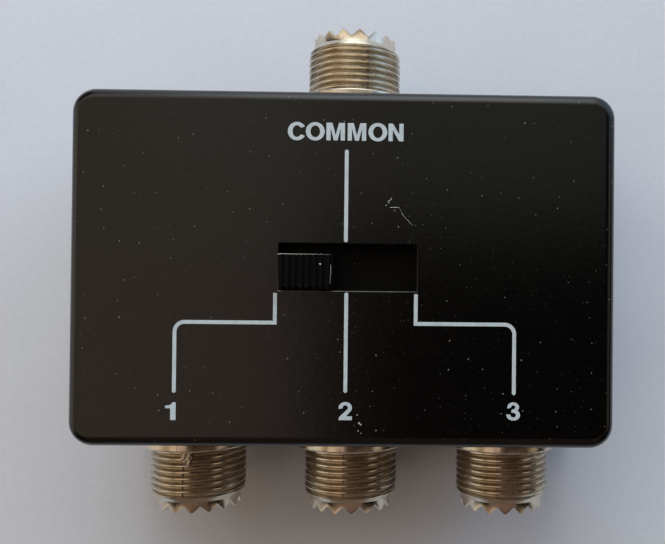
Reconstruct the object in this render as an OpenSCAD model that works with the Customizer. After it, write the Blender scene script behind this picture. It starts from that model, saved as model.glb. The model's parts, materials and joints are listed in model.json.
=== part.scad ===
// Coaxial antenna switch: a die-cast box with one common port and three
// selectable ports, and a three-position slide knob in its face.
// The box lies on its rear cover with its face up. The common port is at +Y,
// ports 1, 2 and 3 are at -Y from left to right, and the knob stands at port 1.

/* [Body] */
// Width of the body along the row of ports
body_w = 84; // [80:1:110]
// Depth of the body from the common port's wall to the other
body_d = 55; // [52:1:80]
// Height from the rear cover's outer face to the front face
body_h = 30; // [28:1:45]
// Radius of the upright corners
corner_r = 3.7; // [2.4:0.1:6]
// Radius of the rounded edge around the front face
edge_r = 1.8; // [0.6:0.1:2.2]
// Radius of the corners inside the body
inner_corner_r = 1.5; // [0.8:0.1:3]
// Thickness of the side walls
wall_t = 2.6; // [2:0.1:3.4]
// Thickness of the front face
face_t = 2.4; // [2:0.1:3.2]
// Thickness of the rear cover
cover_t = 2; // [1.6:0.1:3]

/* [Cover screws] */
// Distance of the cover screws from the middle line, towards each port wall
cover_screw_y = 11; // [8:0.5:13]
// Radius of the cover screws' thread
cover_screw_r = 1.5; // [1.2:0.05:1.75]
// Radius of the countersunk heads
cover_head_r = 2.9; // [2.4:0.1:3.2]
// Height of the countersunk heads
cover_head_h = 1.5; // [1:0.1:1.6]
// Length of the cover screws
cover_screw_l = 12; // [8:0.5:18]
// Radius of the bosses that take the cover screws
cover_boss_r = 3.4; // [3:0.1:3.8]
// How far those bosses sink into the side walls
boss_sink = 1.2; // [0.6:0.1:2]

/* [Ports] */
// Distance of the outer ports' axes from the ends of the body
outer_port_inset = 15.6; // [14.6:0.2:18]
// Depth of the ports' axes below the front face
port_depth = 16; // [14.5:0.1:17]
// Crest radius of the coupling thread, 5/8 inch
thread_r = 7.9375; // [7.5:0.0025:8.2]
// Pitch of the coupling thread, 24 turns an inch
thread_pitch = 1.058; // [0.9:0.001:1.27]
// Number of thread ridges
thread_turns = 7; // [5:1:9]
// Depth of the thread
thread_h = 0.62; // [0.4:0.02:0.7]
// Width of the mould's parting ridge along the thread, on its front and rear sides
parting_w = 0.25; // [0.1:0.05:0.5]
// Radius of the round collar at the wall
collar_r = 9.9; // [8.8:0.1:11]
// Thickness of the collar
collar_t = 2.2; // [1.2:0.1:3]
// Radius of the toothed crown at the tip
crown_r = 7.08; // [6.9:0.01:7.2]
// Length of the cone between the thread and the crown
cone_l = 1.1; // [0.6:0.05:1.6]
// Step from the thread's crests down to the cone's wide end
cone_step = 0.1; // [0.05:0.05:0.3]
// Length of the crown
crown_l = 1.9; // [1.6:0.05:3]
// Number of teeth on the crown
crown_teeth = 16; // [12:2:20]
// Depth of the notches in the crown
tooth_h = 1.15; // [0.8:0.05:1.5]
// Depth to which the socket is opened up inside the crown
crown_relief = 1.5; // [1.3:0.1:2]
// Size of the bevels on the shell's edges
bevel = 0.3; // [0.1:0.05:0.4]
// Radius of the socket in the shell
socket_r = 6.15; // [6:0.05:6.3]
// Depth of the socket from the crown's tip to the insulator
socket_l = 6; // [4:0.5:8]

/* [Insulators and contacts] */
// Step by which the insulator's seat is narrower than the socket
seat_step = 0.2; // [0.1:0.05:0.4]
// Radius of the insulator's rear neck
insulator_neck_r = 5; // [4.4:0.1:5.3]
// Length of the insulator's neck behind the shell
insulator_tail = 1; // [0.5:0.1:2]
// Outer radius of the centre contact
contact_r = 2.9; // [2.6:0.1:3.4]
// Radius of the hole for the plug's centre pin
contact_bore_r = 2; // [1.8:0.05:2.1]
// Depth of the hole for the plug's centre pin
contact_bore_l = 9; // [7:0.5:10]
// Width of the slots that part the contact's four fingers
finger_slot = 0.5; // [0.3:0.05:0.7]
// Length of those slots
finger_l = 5; // [3:0.5:6.5]
// Depth of the contact's front end below the insulator's
contact_inset = 0.1; // [0:0.05:0.3]
// Outer radius of the solder cup
cup_r = 1.5; // [1.3:0.1:2]
// Length of the solder cup behind the contact's shoulder
cup_l = 4.5; // [3.5:0.5:6]
// Depth of the solder hole in the cup
cup_hole_l = 3; // [2:0.5:3]
// Length of the contact that stands out behind the insulator
contact_tail = 0.4; // [0.2:0.1:1]

/* [Nuts and washers] */
// Radius of the shank that passes through the wall
shank_r = 7.9; // [7.4:0.05:8.2]
// Width across the flats of the mounting nuts
nut_flats = 19; // [18.4:0.2:20]
// Thickness of the mounting nuts
nut_t = 2.4; // [2:0.1:3]
// Thickness of the lock washers
washer_t = 0.7; // [0.5:0.1:1]
// Outer radius of the lock washers
washer_r = 9.3; // [9:0.1:10]
// Number of notches around the inside of the lock washers
washer_notches = 12; // [8:1:16]
// Size of those notches
washer_notch = 0.7; // [0.4:0.05:0.8]
// Length of the shank that stands out of the nut
shank_end = 1; // [0.6:0.1:2]

/* [Slide switch] */
// Shift of the window and the switch from the middle of the face, sideways
window_x = 0.65; // [-2:0.05:2]
// Shift of the window from the middle of the face, towards the common port
window_y = 0.25; // [-2:0.05:2]
// Width of the window
window_w = 7.2; // [6.4:0.05:9]
// Length of the knob along its travel
knob_l = 8.05; // [6:0.05:9]
// Width of the knob
knob_w = 5.3; // [4.6:0.1:5.9]
// Height of the knob above the front face
knob_h = 2.4; // [1.5:0.1:5]
// Gap between the knob and the window's lower edge
knob_low_gap = 0.15; // [0.1:0.05:0.4]
// Gap between the knob and the window's ends at the outer positions
knob_end_gap = 0.2; // [0.1:0.05:0.5]
// Number of grip ribs on the knob
rib_count = 8; // [5:1:10]
// Depth of the grooves between the ribs
groove_h = 0.35; // [0.2:0.05:0.5]
// Height above the front face at which the grooves end
groove_foot = 0.4; // [0.2:0.1:1]
// Distance from one switch position to the next
step = 6.3; // [5.4:0.1:6.8]
// Thickness of the skirt that closes the window behind the knob
skirt_t = 1.2; // [0.8:0.1:1.4]
// Overlap of the skirt past the window's edges
skirt_lap = 0.9; // [0.6:0.1:1.4]
// Thickness of the switch frame's sheet steel
sheet_t = 0.8; // [0.6:0.1:1]
// Inner half width of the switch frame's channel
channel_half = 6.2; // [5.8:0.1:6.8]
// Radius of the frame's rounded ears
ear_r = 4; // [3.6:0.1:4.4]
// Radius of the bosses that carry the frame
frame_boss_r = 3; // [2.6:0.1:3.4]
// Radius of the frame screws' thread
frame_screw_r = 1.2; // [1:0.05:1.4]
// Radius of the frame screws' heads
frame_head_r = 2.3; // [2:0.1:2.6]
// Height of the frame screws' heads
frame_head_h = 1.6; // [1.2:0.1:2]
// Depth to which the frame screws reach into the front face
frame_screw_bite = 0.9; // [0.4:0.1:1]
// Width of the tabs that hold the terminal board
tab_w = 3; // [2:0.5:4]
// Reach of the tabs under the board
tab_reach = 1.4; // [1:0.1:1.8]
// Distance of the tabs from the ends of the frame's channel
tab_inset = 3; // [2:0.5:4]
// Length of the channel beyond the carrier's travel, at both ends together
channel_spare = 4; // [2:0.5:6]
// Radius of the detent holes in the frame
detent_hole_r = 1.05; // [0.8:0.05:1.2]
// Depth of the screws' cross recesses
recess_h = 0.9; // [0.6:0.1:1]

/* [Carrier and contacts] */
// Length of the carrier inside the frame
carrier_l = 16; // [12:0.5:18]
// Height of the carrier
carrier_h = 5.9; // [5:0.1:6.5]
// Length of the post that drives the knob
post_l = 4; // [3:0.1:4.6]
// Width of the post
post_w = 2.6; // [2:0.1:2.8]
// Depth of the post's top below the front face
post_depth = 0.7; // [0.5:0.1:2]
// Radius of the peg that holds the contact clip
peg_r = 0.8; // [0.6:0.1:1]
// Length of the peg below the clip
peg_h = 0.4; // [0.2:0.1:0.8]
// Radius of the detent balls
ball_r = 1.5; // [1.2:0.05:1.7]
// Coil radius of the detent spring, to the middle of its wire
spring_r = 1; // [0.8:0.05:1.1]
// Radius of the detent spring's wire
spring_wire_r = 0.2; // [0.15:0.01:0.25]
// Number of coils of the detent spring
spring_coils = 5; // [4:1:6]
// Thickness of the contact clip's sheet
clip_t = 0.4; // [0.3:0.05:0.5]
// Depth of the clip's feet below the carrier
clip_drop = 2; // [1.6:0.1:2.6]
// Width of the contact clip
clip_w = 3.2; // [2.4:0.1:4]
// Distance of the clip's shoulders from the carrier's sides
clip_inset = 1.2; // [0.8:0.1:1.6]
// Reach and lift of the clip's turned-up toes
clip_toe = 1; // [0.6:0.1:1.2]
// Distance of the contact rows from the switch's middle line
row_y = 2.8; // [2.6:0.1:3.4]
// Gap between the clip's feet and the terminals' heads
contact_gap = 0.3; // [0.2:0.05:0.4]
// Thickness of the terminals' heads
head_t = 0.5; // [0.4:0.1:0.8]
// Width of the terminals' heads
head_w = 2.4; // [2:0.1:3]
// Length of a throw terminal's head
head_l = 4.4; // [3.4:0.1:4.8]
// Thickness of the terminal board
board_t = 1.6; // [1.2:0.1:2]
// Radius of the terminals' tails
tail_r = 1.1; // [0.9:0.05:1.3]
// Length of the tails below the board
tail_l = 3.8; // [3:0.1:4.4]
// Depth of the solder holes in the tails
tail_hole_l = 2.4; // [1.6:0.1:2.8]
// Radius of the leads' wire
lead_r = 0.6; // [0.4:0.05:0.7]
// Radius of the leads' bends, to the middle of the wire
lead_bend_r = 1.5; // [1:0.1:2]
// Distance from a solder cup to its lead's first bend
lead_out = 3.5; // [2.5:0.5:4.5]
// Distance from a tail down to its lead's last bend
lead_drop = 2.2; // [2:0.1:3]

/* [Clearances] */
// Gap between sliding parts of the switch
slide_gap = 0.3; // [0.25:0.05:0.35]
// Gap between fixed parts that fit into each other
fit_gap = 0.05; // [0.03:0.01:0.08]
// Gap between the shank and its hole in the wall
hole_gap = 0.15; // [0.1:0.05:0.2]
// Gap between a detent ball and the frame, and around it in its bore
ball_gap = 0.1; // [0.08:0.01:0.12]
// Gap between a lead and its solder hole
solder_gap = 0.12; // [0.1:0.01:0.2]
// Gap between a screw's or a lead's end and the bottom of its hole
screw_end_gap = 0.2; // [0.1:0.05:0.3]

/* [Hidden] */
$fn = 64;
// Overlap that joins solids, and length by which cuts run past a surface
eps = 0.01;
cut = 1;
// Reach of a cross recess as a share of its screw head's radius
recess_share = 0.6;

// Ports: common, 1, 2 and 3
port_pitch = body_w / 2 - outer_port_inset;
port_x = [0, -port_pitch, 0, port_pitch];
port_side = [1, -1, -1, -1];
// Turn of each shell about its own axis, as its nut left it
shell_turn = [22.5, 4, 5, 12];
port_z = body_h - port_depth;
barrel_start = 0.3;
thread_start = collar_t + barrel_start;
thread_end = thread_start + thread_turns * thread_pitch;
crown_start = thread_end + cone_l;
tip = crown_start + crown_l;
root_r = thread_r - thread_h;
parting_angle = parting_w / thread_r * 180 / PI;
crest = thread_pitch / 6;
flank = thread_pitch / 3;
shank_l = wall_t + washer_t + nut_t + shank_end;
seat_r = socket_r - seat_step;
seat_z = tip - socket_l;
notch_half = 0.9 * PI * crown_r / crown_teeth;
insulator_step_z = -wall_t;
neck_seat_r = insulator_neck_r + fit_gap;
contact_front_z = seat_z - contact_inset;
contact_rear_z = -shank_l - insulator_tail - contact_tail;
cup_hole_r = lead_r + solder_gap;
cup_end_z = contact_rear_z - cup_l;

// Levels of the slide switch, from the face down
under_z = body_h - face_t;
skirt_top = under_z - slide_gap;
skirt_bottom = skirt_top - skirt_t;
plate_top = skirt_bottom - slide_gap;
plate_bottom = plate_top - sheet_t;
carrier_top = plate_bottom - slide_gap;
carrier_bottom = carrier_top - carrier_h;
ball_z = carrier_top - carrier_h / 2;
head_top = carrier_bottom - clip_t - clip_drop - contact_gap;
board_top = head_top - head_t;
board_bottom = board_top - board_t;
tail_end = board_bottom - tail_l;
post_top = body_h - post_depth;

// Plan sizes of the slide switch
travel = 2 * step;
window_l = knob_l + travel + 2 * knob_end_gap;
switch_y = window_y - window_w / 2 + knob_low_gap + knob_w / 2;
knob_x = window_x - step;
skirt_l = window_l + travel + 2 * skirt_lap;
ear_x = skirt_l / 2 + step + 2 * slide_gap + frame_boss_r;
channel_l = carrier_l + travel + channel_spare;
carrier_half_w = channel_half - slide_gap;
ball_y = channel_half - ball_gap - ball_r;
tab_x = channel_l / 2 - tab_inset;
frame_half_w = channel_half + sheet_t;

// Cover screws
cover_boss_x = body_w / 2 - wall_t - cover_boss_r + boss_sink;

// Detent spring
spring_steps = 12;
spring_sides = 6;
spring_half = ball_y - sqrt(ball_r * ball_r - spring_r * spring_r) - spring_wire_r - 1.5 * ball_gap;
spring_lead = 2 * spring_half / spring_coils;
spring_gap = spring_lead - 2 * spring_wire_r;
echo(spring_gap = spring_gap);

// Leads
bend_steps = 4;
wire_sides = 8;
lead_turn_y = body_d / 2 + cup_end_z - lead_out;
lead_low_z = tail_end - lead_drop;

// ---- Helpers ----

// Places its children on port i, with local +Z pointing out of the wall.
module at_port(i) {
    translate([port_x[i], port_side[i] * body_d / 2, port_z])
        rotate([-90 * port_side[i], 0, 0])
            children();
}

// A plate with round upright corners.
module rounded_slab(w, d, h, r) {
    linear_extrude(height = h) {
        square([w - 2 * r, d], center = true);
        square([w, d - 2 * r], center = true);
        for (sx = [-1, 1], sy = [-1, 1])
            translate([sx * (w / 2 - r), sy * (d / 2 - r)])
                circle(r = r);
    }
}

// A wall's section from its inner side at 0 to w, with its outer top corner round.
module shoulder(w, h, r) {
    intersection() {
        square([w, h]);
        union() {
            square([w - r, h]);
            square([w, h - r]);
            translate([w - r, h - r])
                circle(r = r);
        }
    }
}

// A block with round upright corners and a round edge along its top.
module soft_block(w, d, h, r, top_r) {
    rotate([90, 0, 0])
        linear_extrude(height = d - 2 * r, center = true)
            for (s = [0, 1])
                mirror([s, 0])
                    shoulder(w / 2, h, top_r);
    for (sy = [-1, 1])
        translate([0, sy * (d / 2 - r), 0])
            rotate([90, 0, 90 * sy])
                linear_extrude(height = w - 2 * r, center = true)
                    shoulder(r, h, top_r);
    for (quarter = [0 : 3])
        mirror([quarter % 2, 0, 0])
            mirror([0, floor(quarter / 2), 0])
                translate([w / 2 - r, d / 2 - r, 0])
                    rotate_extrude(angle = 90)
                        shoulder(r, h, top_r);
}

function unit(v) = v / norm(v);

// A closed tube through rings of points, each ring with the same count.
module tube(rings) {
    n = len(rings[0]);
    last = len(rings) - 1;
    sides = [for (i = [0 : last - 1], k = [0 : n - 1])
        let (a = i * n + k, b = i * n + (k + 1) % n)
        for (t = [[a, b, b + n], [a, b + n, a + n]]) t];
    ends = [for (k = [1 : n - 2], t = [[0, k + 1, k], [last * n, last * n + k, last * n + k + 1]]) t];
    polyhedron(points = [for (ring = rings) for (p = ring) p], faces = concat(sides, ends));
}

// Points along the round bend at corner p, from direction a to direction b.
function bend(p, a, b, bend_r) =
    let (turn = acos(a * b),
         centre = p + unit(b - a) * bend_r / cos(turn / 2),
         out = unit(p - a * bend_r * tan(turn / 2) - centre))
    [for (i = [0 : bend_steps])
        centre + bend_r * (out * cos(turn * i / bend_steps) + a * sin(turn * i / bend_steps))];

// A wire through the given corners, bent at the inner ones.
module wire(corners, r, bend_r) {
    last = len(corners) - 1;
    along = [for (i = [0 : last - 1]) unit(corners[i + 1] - corners[i])];
    path = concat([corners[0]],
                  [for (i = [1 : last - 1]) each bend(corners[i], along[i - 1], along[i], bend_r)],
                  [corners[last]]);
    end = len(path) - 1;
    tube([for (i = [0 : end])
        let (t = unit(path[min(i + 1, end)] - path[max(i - 1, 0)]),
             u = unit(cross(t, [1, 0, 0])),
             v = cross(t, u))
        [for (k = [0 : wire_sides - 1])
            path[i] + r * (u * cos(360 * k / wire_sides) + v * sin(360 * k / wire_sides))]]);
}

// A strip of even thickness along points in a plane.
module strip(points, t) {
    for (i = [0 : len(points) - 2]) {
        v = points[i + 1] - points[i];
        translate(points[i])
            rotate(atan2(v[1], v[0]))
                translate([0, -t / 2])
                    square([norm(v), t]);
    }
    for (p = points)
        translate(p)
            circle(r = t / 2);
}

// A cross recess for a screwdriver, cut down from the origin.
module cross_recess(r, depth) {
    for (a = [0, 90])
        rotate(a)
            translate([-r, -r / 5, -depth])
                cube([2 * r, 2 * r / 5, depth + cut]);
}

// ---- Case ----

module cover_screw_places() {
    for (sx = [-1, 1], sy = [-1, 1])
        translate([sx * cover_boss_x, sy * cover_screw_y, 0])
            children();
}

module frame_screw_places() {
    for (sx = [-1, 1])
        translate([window_x + sx * ear_x, switch_y, 0])
            children();
}

module housing() {
    color([0.10, 0.095, 0.09])
    difference() {
        union() {
            difference() {
                translate([0, 0, cover_t])
                    soft_block(body_w, body_d, body_h - cover_t, corner_r, edge_r);
                translate([0, 0, cover_t - cut])
                    rounded_slab(body_w - 2 * wall_t, body_d - 2 * wall_t,
                                 under_z - cover_t + cut, inner_corner_r);
            }
            cover_screw_places()
                translate([0, 0, cover_t])
                    cylinder(r = cover_boss_r, h = under_z - cover_t + eps);
            frame_screw_places()
                translate([0, 0, plate_top])
                    cylinder(r = frame_boss_r, h = under_z - plate_top + eps);
        }
        translate([window_x - window_l / 2, window_y - window_w / 2, under_z - cut])
            cube([window_l, window_w, face_t + 2 * cut]);
        for (i = [0 : 3])
            at_port(i)
                translate([0, 0, -wall_t - cut])
                    cylinder(r = shank_r + hole_gap, h = wall_t + 2 * cut);
        cover_screw_places()
            translate([0, 0, cover_t - cut])
                cylinder(r = cover_screw_r + fit_gap, h = cover_screw_l - cover_t + screw_end_gap + cut);
        frame_screw_places()
            translate([0, 0, plate_top - cut])
                cylinder(r = frame_screw_r + fit_gap,
                         h = under_z - plate_top + frame_screw_bite + screw_end_gap + cut);
    }
}

module rear_cover() {
    color([0.12, 0.115, 0.11])
    difference() {
        rounded_slab(body_w, body_d, cover_t, corner_r);
        cover_screw_places() {
            translate([0, 0, -cut])
                cylinder(r = cover_screw_r + hole_gap, h = cover_t + 2 * cut);
            translate([0, 0, -fit_gap])
                cylinder(r1 = cover_head_r + 2 * fit_gap, r2 = cover_screw_r + hole_gap,
                         h = cover_head_h + fit_gap);
        }
    }
}

module cover_screws() {
    color([0.62, 0.62, 0.64])
    cover_screw_places()
        difference() {
            union() {
                cylinder(r1 = cover_head_r, r2 = cover_screw_r, h = cover_head_h - fit_gap);
                cylinder(r = cover_screw_r, h = cover_screw_l);
            }
            mirror([0, 0, 1])
                cross_recess(cover_head_r * recess_share, recess_h);
        }
}

// ---- Ports ----

// The shell's outline as [radius, distance out of the wall].
function shell_outline() = concat(
    [[0, -shank_l], [shank_r - bevel, -shank_l], [shank_r, -shank_l + bevel], [shank_r, 0],
     [collar_r, 0], [collar_r, collar_t - bevel], [collar_r - bevel, collar_t], [root_r, collar_t]],
    [for (i = [0 : thread_turns - 1], p = [[root_r, crest / 2], [thread_r, flank + crest / 2],
                                          [thread_r, flank + 3 * crest / 2],
                                          [root_r, 2 * flank + 3 * crest / 2]])
        [p[0], thread_start + i * thread_pitch + p[1]]],
    [[root_r, thread_end], [thread_r - cone_step, thread_end + flank / 2],
     [crown_r, crown_start], [crown_r, tip - bevel / 2], [crown_r - bevel / 2, tip], [0, tip]]);

// The parting ridge fills the grooves up to the crests of the thread.
module parting_ridge() {
    rotate_extrude(angle = parting_angle)
        polygon([[root_r - thread_h / 2, thread_start], [thread_r, thread_start],
                 [thread_r, thread_end], [root_r - thread_h / 2, thread_end]]);
}

module port_shell(i) {
    color([0.72, 0.68, 0.60])
    at_port(i)
    rotate(shell_turn[i])
    difference() {
        union() {
            rotate_extrude()
                polygon(shell_outline());
            for (a = [90, 270])
                rotate(a - parting_angle / 2)
                    parting_ridge();
        }
        translate([0, 0, seat_z])
            cylinder(r = socket_r, h = socket_l + cut);
        translate([0, 0, tip - crown_relief])
            cylinder(r = socket_r + seat_step, h = crown_relief + cut);
        translate([0, 0, insulator_step_z])
            cylinder(r = seat_r, h = seat_z - insulator_step_z + cut);
        translate([0, 0, -shank_l - cut])
            cylinder(r = neck_seat_r, h = shank_l + cut);
        for (k = [0 : crown_teeth / 2 - 1])
            rotate(k * 360 / crown_teeth)
                translate([0, 0, tip])
                    rotate([90, 0, 0])
                        linear_extrude(height = 2 * collar_r, center = true)
                            polygon([[-notch_half, 0], [0, -tooth_h], [notch_half, 0],
                                     [notch_half, cut], [-notch_half, cut]]);
    }
}

module port_insulator(i) {
    color([0.30, 0.17, 0.09])
    at_port(i)
    difference() {
        union() {
            translate([0, 0, insulator_step_z + fit_gap])
                cylinder(r = seat_r - fit_gap, h = seat_z - insulator_step_z - fit_gap);
            translate([0, 0, -shank_l - insulator_tail])
                cylinder(r = insulator_neck_r, h = shank_l + insulator_tail + insulator_step_z + 2 * fit_gap);
        }
        translate([0, 0, -shank_l - insulator_tail - cut])
            cylinder(r = contact_r + fit_gap, h = tip + shank_l + insulator_tail);
    }
}

module port_contact(i) {
    color([0.80, 0.66, 0.38])
    at_port(i)
    difference() {
        union() {
            translate([0, 0, contact_rear_z])
                cylinder(r = contact_r, h = contact_front_z - contact_rear_z);
            translate([0, 0, cup_end_z])
                cylinder(r = cup_r, h = cup_l + eps);
        }
        translate([0, 0, contact_front_z - contact_bore_l])
            cylinder(r = contact_bore_r, h = contact_bore_l + cut);
        translate([0, 0, cup_end_z - cut])
            cylinder(r = cup_hole_r, h = cup_hole_l + cut);
        for (a = [45, 135])
            rotate(a)
                translate([-contact_r - cut, -finger_slot / 2, contact_front_z - finger_l])
                    cube([2 * contact_r + 2 * cut, finger_slot, finger_l + cut]);
    }
}

module lock_washers() {
    color([0.66, 0.66, 0.66])
    for (i = [0 : 3])
        at_port(i)
            difference() {
                translate([0, 0, -wall_t - washer_t])
                    cylinder(r = washer_r, h = washer_t);
                translate([0, 0, -wall_t - washer_t - cut])
                    cylinder(r = shank_r + hole_gap, h = washer_t + 2 * cut);
                for (k = [0 : washer_notches - 1])
                    rotate(k * 360 / washer_notches)
                        translate([shank_r - cut, -washer_notch / 2, -wall_t - washer_t - cut])
                            cube([cut + hole_gap + washer_notch, washer_notch, washer_t + 2 * cut]);
            }
}

module mount_nuts() {
    color([0.74, 0.71, 0.64])
    for (i = [0 : 3])
        at_port(i)
            translate([0, 0, -wall_t - washer_t - nut_t])
                difference() {
                    rotate(30)
                        cylinder(r = nut_flats / 2 / cos(30), h = nut_t, $fn = 6);
                    translate([0, 0, -cut])
                        cylinder(r = shank_r + fit_gap, h = nut_t + 2 * cut);
                }
}

// ---- Slide switch ----

module switch_frame() {
    color([0.66, 0.66, 0.68])
    translate([window_x, switch_y, 0])
    difference() {
        union() {
            translate([-channel_l / 2, -frame_half_w, plate_bottom])
                cube([channel_l, 2 * frame_half_w, sheet_t]);
            translate([-ear_x, -ear_r, plate_bottom])
                cube([2 * ear_x, 2 * ear_r, sheet_t]);
            for (sx = [-1, 1])
                translate([sx * ear_x, 0, plate_bottom])
                    cylinder(r = ear_r, h = sheet_t);
            for (sy = [-1, 1])
                translate([-channel_l / 2, sy * (channel_half + sheet_t / 2) - sheet_t / 2, board_top])
                    cube([channel_l, sheet_t, plate_bottom - board_top + eps]);
            for (sx = [-1, 1], sy = [-1, 1])
                translate([sx * tab_x - tab_w / 2, sy * (channel_half + sheet_t / 2) - sheet_t / 2,
                           board_bottom - sheet_t])
                    cube([tab_w, sheet_t, board_t + sheet_t + eps]);
            for (sx = [-1, 1], sy = [-1, 1])
                translate([sx * tab_x - tab_w / 2, sy * (channel_half - tab_reach / 2) - tab_reach / 2 - eps,
                           board_bottom - sheet_t])
                    cube([tab_w, tab_reach + 2 * eps, sheet_t]);
        }
        translate([-step - post_l / 2 - slide_gap, -post_w / 2 - slide_gap, plate_bottom - cut])
            cube([travel + post_l + 2 * slide_gap, post_w + 2 * slide_gap, sheet_t + 2 * cut]);
        for (sx = [-1, 1])
            translate([sx * ear_x, 0, plate_bottom - cut])
                cylinder(r = frame_screw_r + hole_gap, h = sheet_t + 2 * cut);
        for (k = [-1 : 1])
            translate([k * step, 0, ball_z])
                rotate([90, 0, 0])
                    cylinder(r = detent_hole_r, h = 2 * frame_half_w + 2 * cut, center = true);
    }
}

module frame_screws() {
    color([0.62, 0.62, 0.64])
    frame_screw_places()
        difference() {
            union() {
                translate([0, 0, plate_bottom - frame_head_h])
                    cylinder(r = frame_head_r, h = frame_head_h);
                translate([0, 0, plate_bottom - eps])
                    cylinder(r = frame_screw_r, h = under_z - plate_bottom + frame_screw_bite + eps);
            }
            translate([0, 0, plate_bottom - frame_head_h])
                mirror([0, 0, 1])
                    cross_recess(frame_head_r * recess_share, recess_h);
        }
}

// The skirt closes the window, and the ribbed knob stands out of it.
module slider_knob() {
    rib_pitch = knob_l / rib_count;
    groove_l = knob_h - groove_foot;
    color([0.05, 0.05, 0.055])
    difference() {
        union() {
            translate([knob_x - skirt_l / 2, window_y - window_w / 2 - skirt_lap, skirt_bottom])
                cube([skirt_l, window_w + 2 * skirt_lap, skirt_t]);
            translate([knob_x - knob_l / 2, switch_y - knob_w / 2, skirt_bottom])
                cube([knob_l, knob_w, body_h + knob_h - skirt_bottom]);
        }
        translate([knob_x - post_l / 2 - fit_gap, switch_y - post_w / 2 - fit_gap, skirt_bottom - cut])
            cube([post_l + 2 * fit_gap, post_w + 2 * fit_gap, post_top - skirt_bottom + fit_gap + cut]);
        for (k = [1 : rib_count - 1])
            translate([knob_x - knob_l / 2 + (k - 0.25) * rib_pitch, switch_y, body_h + groove_foot]) {
                translate([0, -knob_w, groove_l - groove_h])
                    cube([rib_pitch / 2, 2 * knob_w, groove_h + cut]);
                for (s = [0, 1])
                    mirror([0, s, 0])
                        translate([0, knob_w / 2 - groove_h, 0])
                            cube([rib_pitch / 2, groove_h + cut, groove_l + cut]);
            }
    }
}

module slider_carrier() {
    color([0.16, 0.11, 0.08])
    translate([knob_x, switch_y, 0])
    difference() {
        union() {
            translate([-carrier_l / 2, -carrier_half_w, carrier_bottom])
                cube([carrier_l, 2 * carrier_half_w, carrier_h]);
            translate([-post_l / 2, -post_w / 2, carrier_top - eps])
                cube([post_l, post_w, post_top - carrier_top + eps]);
            translate([0, 0, carrier_bottom - clip_t - peg_h])
                cylinder(r = peg_r, h = clip_t + peg_h + eps);
        }
        translate([0, 0, ball_z])
            rotate([90, 0, 0])
                cylinder(r = ball_r + ball_gap, h = 2 * carrier_half_w + 2 * cut, center = true);
    }
}

// The clip bridges the common rail and one throw terminal with two sprung feet.
module contact_clip() {
    foot_low = -clip_drop - clip_t / 2;
    half = [[0, 0], [carrier_half_w - clip_inset, 0], [row_y, foot_low],
            [row_y - clip_toe, foot_low + clip_toe]];
    color([0.82, 0.62, 0.30])
    translate([knob_x, switch_y, carrier_bottom - clip_t / 2])
    difference() {
        translate([-clip_w / 2, 0, 0])
            rotate([90, 0, 90])
                linear_extrude(height = clip_w)
                    for (s = [-1, 1])
                        strip([for (p = half) [s * p[0], p[1]]], clip_t);
        translate([0, 0, -clip_t / 2 - cut])
            cylinder(r = peg_r + fit_gap, h = clip_t + 2 * cut);
    }
}

// One ring of the spring's wire at turn angle a.
function spring_ring(a) = [for (k = [0 : spring_sides - 1])
    let (w = 360 * k / spring_sides, r = spring_r + spring_wire_r * cos(w))
    [r * cos(a), spring_lead * a / 360 - spring_half + spring_wire_r * sin(w), r * sin(a)]];

module detent_spring() {
    color([0.70, 0.70, 0.72])
    translate([knob_x, switch_y, ball_z])
        tube([for (i = [0 : spring_steps * spring_coils]) spring_ring(360 * i / spring_steps)]);
}

module detent_balls() {
    color([0.78, 0.78, 0.80])
    for (s = [-1, 1])
        translate([knob_x, switch_y + s * ball_y, ball_z])
            sphere(r = ball_r);
}

module terminal_board() {
    color([0.42, 0.27, 0.13])
    translate([window_x, switch_y, 0])
    difference() {
        translate([-channel_l / 2, -frame_half_w, board_bottom])
            cube([channel_l, 2 * frame_half_w, board_t]);
        for (sx = [-1, 1], sy = [-1, 1])
            translate([sx * tab_x - tab_w / 2 - fit_gap,
                       sy * (channel_half + sheet_t) - sheet_t - fit_gap, board_bottom - cut])
                cube([tab_w + 2 * fit_gap, 2 * sheet_t + 2 * fit_gap, board_t + 2 * cut]);
        for (k = [-1 : 1])
            translate([k * step, -row_y, board_bottom - cut])
                cylinder(r = tail_r + fit_gap, h = board_t + 2 * cut);
        translate([0, row_y, board_bottom - cut])
            cylinder(r = tail_r + fit_gap, h = board_t + 2 * cut);
    }
}

// A terminal with a flat head on the board and a hollow tail below it.
module terminal(x, y, head_length) {
    color([0.80, 0.64, 0.34])
    translate([window_x + x, switch_y + y, 0])
    difference() {
        union() {
            translate([-head_length / 2, -head_w / 2, board_top])
                cube([head_length, head_w, head_t]);
            translate([0, 0, tail_end])
                cylinder(r = tail_r, h = board_top - tail_end + eps);
        }
        translate([0, 0, tail_end - cut])
            cylinder(r = cup_hole_r, h = tail_hole_l + cut);
    }
}

// A bare wire from a port's solder cup to the tail at [tx, ty].
module lead(i, tx, ty) {
    s = port_side[i];
    x = port_x[i];
    color([0.75, 0.62, 0.45])
    wire([[x, s * (body_d / 2 + cup_end_z + cup_hole_l - screw_end_gap), port_z],
          [x, s * lead_turn_y, port_z],
          [x, s * lead_turn_y, lead_low_z],
          [window_x + tx, switch_y + ty, lead_low_z],
          [window_x + tx, switch_y + ty, tail_end + tail_hole_l - screw_end_gap]],
         lead_r, lead_bend_r);
}

// ---- Nodes ----

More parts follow.
